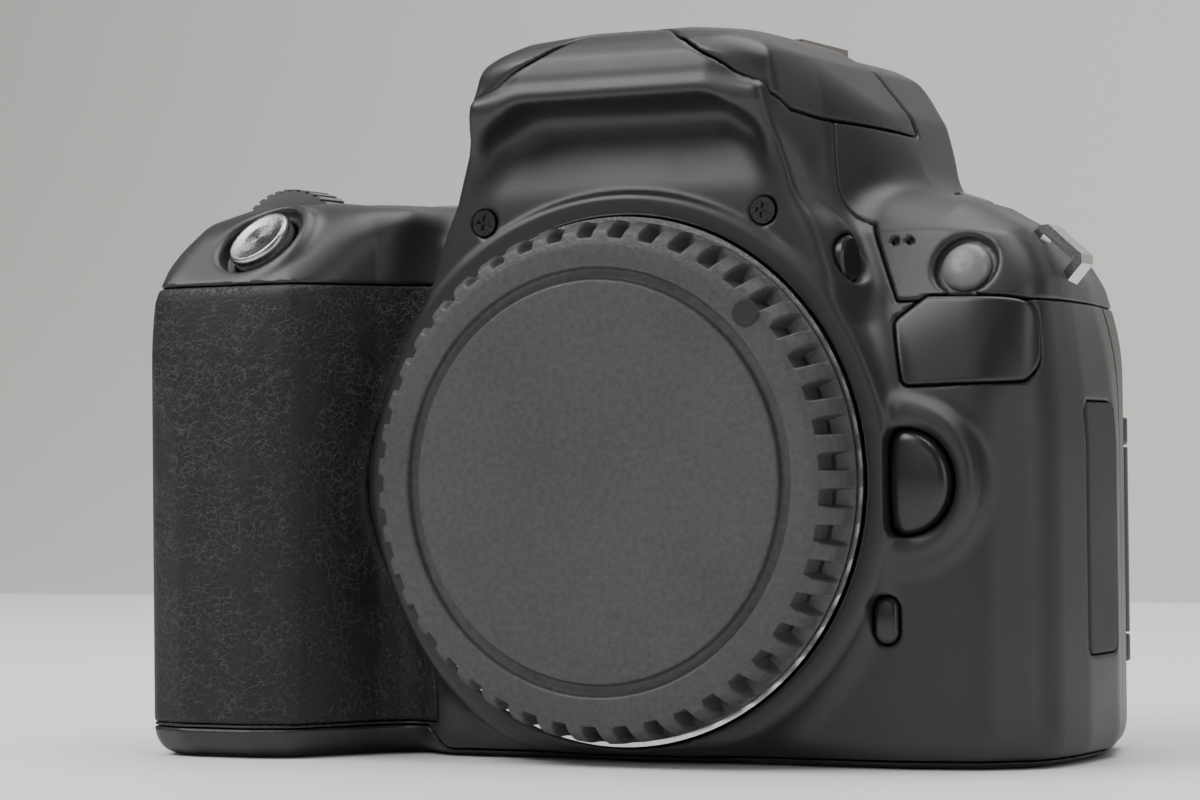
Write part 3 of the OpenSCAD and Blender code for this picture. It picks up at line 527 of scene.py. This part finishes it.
MIRROR = metal("mirror_silver", (0.88, 0.88, 0.9), 0.04, 400, 0.01)


# ---------------------------------------------------------------- the body's form

MAIN_FRONT = [(-69, -9), (57.4, -9), (57.4, 40), (54.8, 50), (52.6, 60), (47.5, 66.4), (39.5, 70.6),
              (30, DECK), (-20, DECK), (-34, 71.2), (-69, 71.2)]
MAIN_PLAN = [(-66.4, -18), (-34, -23), (-28, -27), (36, -27), (46, -24.4), (52.8, -18.6), (54.4, -9),
             (54.4, 1.6), (52.2, 8.6), (48.8, REAR), (-60, REAR), (-66.4, 14)]
MAIN_SIDE = [(-30, -9), (24.5, -9), (24.5, 53), (17, 75.5), (-6.5, 75.5), (-17.5, 66), (-30, 39.7)]
GRIP_FRONT = [(-71, -9), (-33, -9), (-33, 71.2), (-46, 72.8), (-58, 72.8), (-64, 70.8), (-67.6, 64.6),
              (-68.6, 56), (-71, 40)]
GRIP_PLAN = [(-68, -30), (-65.5, -37.2), (-59.5, -39.5), (-49.5, -39.5), (-43.5, -37.4), (-37, -26.5),
             (-30.5, -20), (-30.5, 12), (-60, 16), (-66.2, 14)]
GRIP_SIDE = [(-42, -9), (16, -9), (16, 75.8), (-21.3, 75.8), (-37.6, 60.6), (-42, 47.6)]
TOWER_HALF = [(31.5, 45), (30, 55), (28.2, 60), (25.5, 67.5), (23.8, 71.2), (22.6, 75), (21.3, 79),
              (20.4, 84)]
SCOOP_HALF = [(26.6, 60), (24.6, 68.4), (22, 74.6), (18.8, 79.6), (13.5, 83)]
TOWER_SIDE = [(-28.8, 30), (0, 30), (0, 88), (-31.4, 88), (-31.2, 82), (-29.3, 77), (-28.8, 70)]
HUMP_FRONT = [(30.5, 50), (29.6, 72), (25.6, 82.4), (20.6, 88.6), (14.6, 92.4), (7, 94.2), (-7, 94.2),
              (-14.6, 92.4), (-20.6, 88.6), (-25.6, 82.4), (-29.6, 72), (-30.5, 50)]
HUMP_PLAN = [(-13.2, -31.8), (13.2, -31.8), (21.1, -28.4), (23.2, -18), (30, 2), (27.5, 18), (18, 25.4),
             (-18, 25.4), (-27.5, 18), (-30, 2), (-23.2, -18), (-21.1, -28.4)]
HUMP_SIDE = [(-32.4, 82.4), (-28, 80.5), (-22, 76), (-22, 50), (25.4, 50), (25.4, 84.5), (20, 91.6),
             (6.2, 91.6), (5, 93.3), (-12, 93.6), (-17, 93.5), (-22, 92.9), (-25.8, 91.8), (-28.3, 90.5),
             (-30.2, 88.8), (-31.5, 86.8), (-32.2, 84.6)]


def both(half):
    """A symmetric outline from its right half, given from the bottom up."""
    return half + [(-a, b) for a, b in half[::-1]]


def main_form(x, y, z):
    # The shoulder on the left-hand side draws in towards the back.
    lean = F(0.15) * np.maximum(y + F(12), 0) * ss(46, 62, z) * ss(20, 40, x)
    a = rpoly(x + lean, z, MAIN_FRONT, 4)
    b = rpoly(x, y, MAIN_PLAN, 9)
    c = rpoly(y, z, MAIN_SIDE, 3)
    return smax(smax(a, b, 5), c, 5)


def grip_form(x, y, z):
    a = rpoly(x, z, GRIP_FRONT, 3)
    b = rpoly(x, y, GRIP_PLAN, 4)
    c = rpoly(y, z, GRIP_SIDE, 4)
    return smax(smax(a, b, 4), c, 4)


def hump_form(x, y, z):
    a = rpoly(x, z, HUMP_FRONT, 4)
    b = rpoly(x, y, HUMP_PLAN, 2)
    c = rpoly(y, z, HUMP_SIDE, 0.7)
    return smax(smax(a, b, 3), c, 3.2)


def tower_form(x, y, z):
    """The front of the viewfinder housing, with the hollow under its brow and the rim of the mount."""
    t = smax(rpoly(x, z, both(TOWER_HALF), 1), rpoly(y, z, TOWER_SIDE, 1), 1.6)
    t = smin(t, hump_form(x, y, z), 2.5)
    floor = F(-29.4) + F(5.6) * ss(65, 86, z)
    scoop = smax(rpoly(x, z, both(SCOOP_HALF), 6), (y - floor) * F(0.93), 5.5)
    t = smax(t, -scoop, 1.3)
    boss = smax(np.hypot(x, z - F(AXIS_Z)) - F(BOSS_R), np.maximum(F(BOSS_FRONT) - y, y + F(8)), 1.2)
    return smin(t, boss, 0.9)


def body_form(x, y, z):
    f = smin(main_form(x, y, z), grip_form(x, y, z), 5)
    f = smin(f, tower_form(x, y, z), 4)
    return smax(f, -z, 4.5)


SHUTTER = box_mm("shutter_button")
# The shutter button leans 12 degrees towards the outer side and 46 degrees forwards.
SHUTTER_SIDE, SHUTTER_TILT = math.radians(12), math.radians(46)
shutter_n = np.array([math.sin(-SHUTTER_SIDE), -math.sin(SHUTTER_TILT) * math.cos(SHUTTER_SIDE),
                      math.cos(SHUTTER_TILT) * math.cos(SHUTTER_SIDE)])
shutter_at = (SHUTTER[0] + SHUTTER[1]) / 2 + shutter_n * 0.8
lamp_lo, lamp_hi = box_mm("af_lamp")
lamp_n = np.array([0, -math.cos(math.radians(24)), math.sin(math.radians(24))])
lamp_at = np.array([(lamp_lo[0] + lamp_hi[0]) / 2, -19.2, (lamp_lo[2] + lamp_hi[2]) / 2])
rel_lo, rel_hi = box_mm("release_button")
REL_X = float(rel_hi[0]) - 7.5
REL_Z = float((rel_lo[2] + rel_hi[2]) / 2)
pre_lo, pre_hi = box_mm("preview_button")
PRE = ((pre_lo[0] + pre_hi[0]) / 2, (pre_lo[2] + pre_hi[2]) / 2)
fb_lo, fb_hi = box_mm("flash_button")
FB = (fb_lo + fb_hi) / 2
dial_lo, dial_hi = box_mm("main_dial")
DIAL_C = (dial_lo + dial_hi) / 2
PLATE_PTS = [(36.6, 46.6), (50.4, 47), (58, 52), (58, 57.2), (38.2, 57.6), (34.4, 54.6)]
PORT_PTS = [(-9.2, 13.4), (1.2, 13.4), (1.2, 44.6), (-9.2, 44.6)]
DECK_KEYS = [box_mm("iso_button"), box_mm("display_button")]
WIFI = (34.8, 3.6, 71)
wifi_n = (math.sin(math.radians(20)), 0, math.cos(math.radians(20)))
mode_lo, mode_hi = box_mm("mode_dial")
MODE_C = (mode_lo + mode_hi) / 2


def collar(x, y, z):
    """A round boss drawn out to a point at the outer edge of the grip."""
    tip = np.array([-67.6, -33.5, 62.3]) - shutter_at
    u = tip - shutter_n * (tip @ shutter_n)
    length = np.linalg.norm(u)
    u /= length
    w = np.cross(shutter_n, u)
    dx, dy, dz = x - F(shutter_at[0]), y - F(shutter_at[1]), z - F(shutter_at[2])
    a = dx * F(u[0]) + dy * F(u[1]) + dz * F(u[2])
    b = np.abs(dx * F(w[0]) + dy * F(w[1]) + dz * F(w[2]))
    h = dx * F(shutter_n[0]) + dy * F(shutter_n[1]) + dz * F(shutter_n[2])
    r1, r2 = 7.6, 0.6
    slope = (r1 - r2) / length
    c = math.sqrt(1 - slope * slope)
    k = a * F(c) - b * F(slope)
    flat = np.where(k < 0, np.hypot(a, b) - F(r1),
                    np.where(k > c * length, np.hypot(a - F(length), b) - F(r2),
                             a * F(slope) + b * F(c) - F(r1)))
    return smax(flat, np.maximum(h + F(0.1), F(-6) - h), 1.2)


def d_shape(x, z, g=0.0):
    """Outline of the lens release button, flat side towards the mount."""
    return smax(np.hypot(x - F(REL_X), z - F(REL_Z)) - F(6.5 + g), F(REL_X - 1.3 - g) - x, 1.8)


def oval(x, z, r):
    """Upright oblong of the preview button."""
    return np.hypot(x - F(PRE[0]), np.maximum(np.abs(z - F(PRE[1])) - F(1.4), 0)) - F(r)


def plate(x, y, z):
    """Outline of the name plate, which ends as the front turns into the side."""
    return smax(rpoly(x, z, PLATE_PTS, 1.1), (y + F(18.6)) * F(0.8), 2.5)


def port(y, z):
    return rpoly(y, z, PORT_PTS, 1.6)


def details(x, y, z, f):
    """Ridges, collars, pockets and recesses in the covers."""
    # Horseshoe ridge round the lens release button.
    a = np.arctan2(z - F(REL_Z), x - F(REL_X))
    ra = np.clip(a, -1.5, 1.5)
    cx, cz = F(REL_X) + F(RIDGE_RX) * np.cos(ra), F(REL_Z) + F(RIDGE_RZ) * np.sin(ra)
    ridge = np.sqrt((x - cx) ** 2 + (z - cz) ** 2 + ((y - F(RIDGE_Y)) * F(0.9)) ** 2) - F(RIDGE_R)
    f = smin(f, ridge, 2.6)
    # Swelling round the flash button on the tower's flank.
    f = smin(f, capsule(x, y, z, SWELL_TOP, SWELL_FOOT, SWELL_R), 5.5)
    # Leaf-shaped collar of the shutter button.
    f = smin(f, collar(x, y, z), 1.6)
    f = smax(f, -disc(x, y, z, shutter_at, shutter_n, 6.0, -1.1, 9, 0.5), 0.9)
    f = smax(f, -disc(x, y, z, shutter_at, shutter_n, 5.0, -4.6, 9), 0.3)
    # Pockets of the buttons, the lamp, the name plate and the terminal cover.
    f = smax(f, -np.maximum(d_shape(x, z, 0.16), y + F(19.5)), 0.35)
    f = smax(f, -disc(x, y, z, lamp_at, lamp_n, 4.0, -0.75, 9, 0.3), 0.8)
    f = smax(f, -np.maximum(oval(x, z, 1.72), y + F(22)), 0.3)
    f = smax(f, -disc(x, y, z, FB, (1, 0, 0), 3.05, -3, 9, 0.2), 0.5)
    f = smax(f, -np.maximum(plate(x, y, z) - F(0.22), -(f + F(0.9))), 0.15)
    f = smax(f, -np.maximum(np.maximum(port(y, z) - F(0.16), F(50) - x), -(f + F(1.2))), 0.15)
    # Bay and hinge of the rear screen, and the seat of the port cover on the grip's side.
    f = smax(f, -box3(x, y, z, *SCREEN_BAY, 1.0), 0.3)
    f = smax(f, -box3(x, y, z, *HINGE_BAY, 0.5), 0.3)
    for foot in EAR_FEET:
        f = np.minimum(f, cyl(x, y, z, HINGE_X, HINGE_Y, EAR_R, foot, foot + EAR_LENGTH))
    f = smax(f, -box3(x, y, z, *GRIP_PORT_SEAT, 0.3), 0.2)
    # Microphone holes.
    for u in MICROPHONES:
        f = np.maximum(f, -disc(x, y, z, (u, MIC_Y, MIC_Z), lamp_n, 0.5, -2.5, 4))
    # Slot of the command dial and the well of the mode dial.
    slot = cyl(x, z, y, DIAL_C[0], DIAL_C[2], DIAL_SLOT_R,
               DIAL_C[1] - DIAL_SLOT_HALF, DIAL_C[1] + DIAL_SLOT_HALF)
    f = smax(f, -slot, 0.6)
    f = smax(f, -cyl(x, y, z, MODE_C[0], MODE_C[1], MODE_WELL_R, MODE_WELL_FLOOR, 90), 0.6)
    # Seats of the deck buttons.
    for lo, hi in DECK_KEYS:
        f = smax(f, -cyl(x, y, z, (lo[0] + hi[0]) / 2, (lo[1] + hi[1]) / 2, 2.15, 66, 90), 0.5)
    f = smax(f, -disc(x, y, z, WIFI, wifi_n, 3.05, -4, 6), 0.5)
    # Screw seats on the tower.
    for s in (-TOWER_SCREW_X, TOWER_SCREW_X):
        f = smax(f, -cyl(x, z, y, s, TOWER_SCREW_Z, 1.85, -40, -27.95), 0.25)
    # Mount opening.
    f = smax(f, -cyl(x, z, y, 0, AXIS_Z, RING_R + 0.25, -60, -27.4), 0.3)
    f = np.maximum(f, -cyl(x, z, y, 0, AXIS_Z, MOUNT_BORE_R, -60, 10))
    return f


def body(x, y, z):
    return details(x, y, z, body_form(x, y, z))


# Parting lines.
GRIP_SEAM, SIDE_SEAM, BASE_TOP, BASE_TOP_FRONT, SPLIT = 61.3, 57.0, 3.9, 1.0, 8.0


def top_zone(x, y, z):
    g = np.maximum(F(GRIP_SEAM) - z, x + F(27.5))
    right = np.maximum(F(SIDE_SEAM) - z, (F(56) - z) * F(0.46) + (F(34.8) - x) * F(0.888))
    right = np.maximum(right, z - F(70))
    back = np.maximum(F(GRIP_SEAM) - z, F(-16) - y)
    return np.minimum(np.minimum(g, right), back)


LID_SIDE = [(-34, 93), (-31, 89.4), (-30.2, 87), (-29, 83), (-25, 81.1), (-18, 80.4), (5.4, 79.7),
            (5.4, 110), (-34, 110)]
LID_BOW = [(0, -20.5), (5, -24), (9, -29), (12.5, -34), (34, -34), (34, 5.4), (-34, 5.4), (-34, -34),
           (-12.5, -34), (-9, -29), (-5, -24)]
LID_FRONT = [(-34, 76), (-22.5, 76), (-19.1, 82.9), (-13.9, 87.3), (-9, 90.2), (9, 90.2), (13.9, 87.3),
             (19.1, 82.9), (22.5, 76), (34, 76), (34, 110), (-34, 110)]


def flash_zone(x, y, z):
    plan = smax(rpoly(y, z, LID_SIDE, 0.8), rpoly(x, y, LID_BOW, 0.8), 1.0)
    return smax(plan, rpoly(x, z, LID_FRONT, 0.8), 1.0)


def base_line(x):
    """The base's parting line drops towards the lens on the front."""
    return F(BASE_TOP) + (F(BASE_TOP_FRONT) - F(BASE_TOP)) * ss(-31, -27, x)


def front_region(x, y, z):
    g = np.maximum(y - F(SPLIT), base_line(x) - z)
    g = np.maximum(g, -top_zone(x, y, z))
    g = np.maximum(g, -flash_zone(x, y, z) + F(0.1))
    return g + F(PARTING_GAP)


def top_region(x, y, z):
    return np.maximum(top_zone(x, y, z), -flash_zone(x, y, z) + F(0.15)) + F(PARTING_GAP)


def rear_region(x, y, z):
    return np.maximum(np.maximum(F(SPLIT) - y, base_line(x) - z), -top_zone(x, y, z)) + F(PARTING_GAP)


def base_region(x, y, z):
    return z - base_line(x) + F(PARTING_GAP)


def rubber_zone(x, y, z):
    """The grip's rubber, cut off round the mount."""
    g = np.maximum(np.maximum(F(4.4) - z, z - F(GRIP_SEAM)), np.maximum(x + F(28.6), y - F(4)))
    return np.maximum(g, F(37.2) - np.hypot(x, z - F(AXIS_Z)))


def body_less_rubber(x, y, z):
    f = body(x, y, z)
    skin = np.maximum(rubber_zone(x, y, z), -(f + F(1.2)))
    return np.maximum(f, -skin)


# The boxes start off the round numbers, so no flat face lies on a plane of the grid.
front = shell_piece("front_shell", body_less_rubber, front_region,
                    (-70.03, -42.02, -0.51), (57, 10, 95), 0.42, BODY)
piece(front, "camera_body", "front_cover", slot="body_plastic")


def top_body(x, y, z):
    """The body with the level seat of the accessory shoe."""
    return smax(body(x, y, z), -box3(x, y, z, *SHOE_SEAT), 0.4)


# The top cover takes the lighter copy of the body plastic, painted light from above.
top = shell_piece("top_shell", top_body, top_region,
                  (-70.03, -41.02, 55.03), (57, 28, 95), 0.42, LIT_SHOULDER)
piece(top, "camera_body", "top_cover", slot="body_plastic")

rubber = shell_piece("grip_skin", body, lambda x, y, z: rubber_zone(x, y, z) + F(0.1),
                     (-70.03, -42.02, 3.03), (-26, 6, 63), 0.4, RUBBER)
piece(rubber, "camera_body", "grip_rubber", slot="rubber")

base = shell_piece("base_shell", body, base_region,
                   (-70.03, -42.02, -1.01), (57, 24, 5), 0.45, BODY)
piece(base, "camera_body", "base_cover", slot="body_plastic")
rear = shell_piece("rear_shell", body, rear_region,
                   (-70.03, 6.02, -0.51), (57, 24, 63), 0.5, BODY)
piece(rear, "camera_body", "rear_cover", slot="body_plastic")


def flash_region(x, y, z):
    return np.maximum(flash_zone(x, y, z) + F(PARTING_GAP), y - F(LID_BACK))


flash = shell_piece("flash_shell", body, flash_region,
                    (-34.03, -34.02, 78.03), (34, 8, 95), 0.4, BODY)
piece(flash, "flash", "flash_head", slot="body_plastic")

# ---------------------------------------------------------------- small fittings


def release(x, y, z):
    r2 = (x - F(REL_X + 2)) ** 2 + (z - F(REL_Z)) ** 2
    f = smax(d_shape(x, z), F(-28.4) + r2 * F(0.018) - y, 1.6)
    return np.maximum(f, y + F(22))


piece(solid_piece("release", release, (34.01, -29.02, 27.03), (45, -21, 43), 0.2, GLOSS),
      "release_button", "release_button", slot="button_plastic")


def preview(x, y, z):
    r2 = (x - F(PRE[0])) ** 2 + (z - F(PRE[1])) ** 2
    return np.maximum(smax(oval(x, z, 1.6), F(-27.5) + r2 * F(0.04) - y, 0.9), y + F(23))


piece(solid_piece("preview", preview, (32.01, -28.02, 13.03), (37.5, -22, 23.5), 0.16, GLOSS),
      "preview_button", "preview_button", slot="button_plastic")


def name_plate(x, y, z):
    b = body_form(x, y, z)
    f = smax(b - F(0.3), plate(x, y, z), 0.6)
    return np.maximum(f, -(b + F(0.8)))


piece(solid_piece("plate", name_plate, (33.01, -29.02, 45.03), (56, -4, 59), 0.24, PLATE),
      "camera_body", "name_plate", slot="button_plastic")


def port_cover(x, y, z):
    b = body_form(x, y, z)
    f = smax(b - F(0.1), port(y, z), 0.5)
    return np.maximum(f, np.maximum(F(50) - x, -(b + F(1.1))))


piece(solid_piece("port_cover", port_cover, (50.01, -11.02, 12.03), (56, 3, 46), 0.24, SOFT),
      "side_port_cover", "side_port_cover", slot="rubber")

LAMP_PROFILE = [(0, 0.95), (1.6, 0.85), (2.6, 0.45), (3.15, -0.2), (3.2, -1.4), (0, -1.4)]
lamp = lathe("lamp", fillet(LAMP_PROFILE, 0.5), frame_matrix(lamp_at, lamp_n), LAMP, 64)
piece(lamp, "camera_body", "af_lamp", slot="lamp")

TURNED = turned("shutter_alu", (0.42, 0.42, 0.43), tuple(shutter_at), tuple(shutter_n))
PUSH_PROFILE = [(0, 0.7), (2.4, 0.78), (3.9, 1.05), (4.3, 1.05), (4.6, 0.6), (4.6, -2.8), (0, -2.8)]
push = lathe("push", fillet(PUSH_PROFILE, 0.3), frame_matrix(shutter_at, shutter_n), TURNED, 96)
piece(push, "shutter_button", "shutter_button", slot="aluminium")

# ---------------------------------------------------------------- the body cap

CAP_M = frame_matrix((0, FLANGE, AXIS_Z), (0, -1, 0))
CAP_H = FLANGE - CAP_FACE
NOTCHES, NOTCH_DEPTH = 45, 2.3


def cap_mod(r, z, a):
    """Finger notches round the rim, open to the front."""
    p = (a * NOTCHES / (2 * math.pi)) % 1.0
    d = np.abs(p - 0.5) * (2 * math.pi / NOTCHES) * CAP_R
    w = (1 - ss(0.95, 1.25, d)) * ss(0.9, 1.2, z)
    return r - w * np.maximum(r - (CAP_R - NOTCH_DEPTH), 0), z


# A groove parts the cap's face from its rim; a collar at the back goes into the mount.
prof = fillet([(0, CAP_H), (24.9, CAP_H), (25.15, CAP_H - 1.0), (26.35, CAP_H - 1.0), (26.6, CAP_H),
               (29.2, CAP_H), (31.0, CAP_H - 0.55), (32.0, CAP_H - 2.2), (CAP_R, 3.4), (CAP_R, 0.3),
               (30.7, 0.3), (30.7, 2.6), (25.2, 2.6), (25.2, -3), (23.4, -3), (23.4, 3), (0, 3)], 0.32, 3)
# The notched rim needs points close together.
dense = []
for a, b in zip(prof[:-1], prof[1:]):
    step = 0.3 if max(a[0], b[0]) > 30 else 3.0
    k = max(1, int(math.hypot(b[0] - a[0], b[1] - a[1]) / step))
    dense += [(a[0] + (b[0] - a[0]) * t / k, a[1] + (b[1] - a[1]) * t / k) for t in range(k)]
dense.append(prof[-1])
cap = lathe("cap", dense, CAP_M, CAP, NOTCHES * (24), cap_mod)
# The index hole is a flat dark disc lying on the cap's face: painted shade standing in for the hollow of
# the hole.
pit = lathe("index_hole_painted_shade", [(0, 0.02), (0.6, 0.03), (0.7, 0.02), (1.2, 0.02), (1.5, 0.12), (1.75, 0.0)],
            frame_matrix((20.9, CAP_FACE, AXIS_Z + 20.2), (0, -1, 0)), DARK, 40)
piece(pit, "body_cap", slot="cap_plastic")
piece(cap, "body_cap", "body_cap", slot="cap_plastic")

# ---------------------------------------------------------------- stage, light, camera


def flat(name, col, rough):
    """Matt sheet for the stage."""
    m = Nodes(name)
    g = m.noise(1400, 3, 0.6)
    m.link(m.ramp(g, [(0.3, tuple(c * 0.96 for c in col)), (0.7, col)]), "Base Color")
    m.link(m.map(g, 0.3, 0.7, rough * 0.9, rough), "Roughness")
    m.bump(g, 0.15, 3e-5)
    return m.mat


def plane(name, verts, mat):
    """A rectangle given in metres, part of the stage."""
    ob = from_arrays(name, np.array(verts) / MM, np.array([[0, 1, 2, 3]]), mat, smooth=False)


# Sizes of the stage, in metres.
HALF_WIDTH, FLOOR_FRONT, FLOOR_BACK, SWEEP_R, SWEEP_TOP = 3, -3, 0.5, 0.35, 3
FLOOR_CORNERS = [(-HALF_WIDTH, FLOOR_FRONT, 0), (HALF_WIDTH, FLOOR_FRONT, 0),
                 (HALF_WIDTH, FLOOR_BACK, 0), (-HALF_WIDTH, FLOOR_BACK, 0)]
plane("floor", FLOOR_CORNERS, flat("floor_white", (0.9, 0.9, 0.9), 0.5))


def sweep():
    """The backdrop: a quarter round up from the floor's back edge, then a wall."""
    pts = [(FLOOR_BACK, 0.0)]
    for t in np.linspace(0, math.pi / 2, 12):
        pts.append((FLOOR_BACK + SWEEP_R * math.sin(t), SWEEP_R - SWEEP_R * math.cos(t)))
    pts.append((FLOOR_BACK + SWEEP_R, SWEEP_TOP))
    v = np.array([(x, y, z) for y, z in pts for x in (-HALF_WIDTH, HALF_WIDTH)]) / MM
    q = np.array([[2 * i, 2 * i + 1, 2 * i + 3, 2 * i + 2] for i in range(len(pts) - 1)])
    ob = from_arrays("backdrop", v, q, flat("backdrop_grey", (0.66, 0.635, 0.605), 0.7))


sweep()


def area(name, at, aim, size, power):
    li = bpy.data.lights.new(name, "AREA")
    li.shape = "RECTANGLE"
    li.size, li.size_y = size
    li.energy = power
    ob = bpy.data.objects.new(name, li)
    ob.location = at
    ob.rotation_euler = (Vector(aim) - Vector(at)).to_track_quat("-Z", "Y").to_euler()
    bpy.context.scene.collection.objects.link(ob)


area("key", (-0.45, -0.35, 0.75), (0, 0, 0.04), (0.7, 0.5), 8.5)
area("top", (0.1, 0.15, 0.9), (0, 0, 0.05), (0.9, 0.6), 8)
area("side", (0.95, -0.35, 0.35), (0.03, 0, 0.05), (0.4, 0.7), 2)
area("front", (-0.1, -1.2, 0.5), (0, 0, 0.04), (0.9, 0.6), 1.6)

world = bpy.data.worlds.new("world")
bpy.context.scene.world = world
world.use_nodes = True
world.node_tree.nodes["Background"].inputs[0].default_value = (0.55, 0.55, 0.56, 1)
world.node_tree.nodes["Background"].inputs[1].default_value = 0.2

# The camera, fitted to the photograph: turned to the object's left-hand side, almost level.
az, el, roll = (math.radians(a) for a in (27.352, 1.186, -0.594))
fwd = Vector((-math.sin(az) * math.cos(el), math.cos(az) * math.cos(el), math.sin(el)))
right = Vector((math.cos(az), math.sin(az), 0))
up = right.cross(fwd)
r2 = right * math.cos(roll) + up * math.sin(roll)
u2 = -right * math.sin(roll) + up * math.cos(roll)
cam_data = bpy.data.cameras.new("camera")
cam_data.lens = 107.47
cam_data.sensor_width = 36
cam_data.clip_start = 0.01
cam = bpy.data.objects.new("camera", cam_data)
m = Matrix((r2, u2, -fwd)).transposed().to_4x4()
m.translation = (0.203627, -0.428476, 0.036253)
cam.matrix_world = m
bpy.context.scene.collection.objects.link(cam)
bpy.context.scene.camera = cam

# ---------------------------------------------------------------- carried-over CAD nodes

LOOK = {
    "mount_ring": STEEL, "lock_pin": STEEL, "hot_shoe": SHOE, "chassis": ZINC, "mirror_box": DARK,
    "pentamirror": DARK, "shutter_frame": DARK, "shutter_curtain": DARK, "focusing_screen": LENS,
    "eyepiece_lens": LENS, "flash_window": LENS, "image_sensor": SENSOR, "main_board": BOARD,
    "battery": SOFT, "sd_card": CARD, "strap_lugs": CHROME, "name_plate": PLATE, "af_lamp": LAMP,
    "body_screws": SCREW, "release_button": GLOSS, "preview_button": GLOSS, "flash_button": GLOSS,
    "shutter_button": CHROME, "main_dial": DIAL, "mode_dial": DIAL, "power_lever": SATIN,
    "thumb_rubber": RUBBER, "eyecup": SOFT, "side_port_cover": SOFT, "grip_port_cover": SOFT,
    "lcd_glass": SCREEN, "lcd_panel": BODY, "lcd_arm": SATIN, "mirror": MIRROR, "sub_mirror": MIRROR,
    "battery_door": BODY, "diopter_dial": SATIN,
}
for name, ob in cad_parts.items():
    mat = LOOK.get(name, GLOSS)
    for s in ob.material_slots:
        s.material = mat
    if not ob.material_slots:
        ob.data.materials.append(mat)
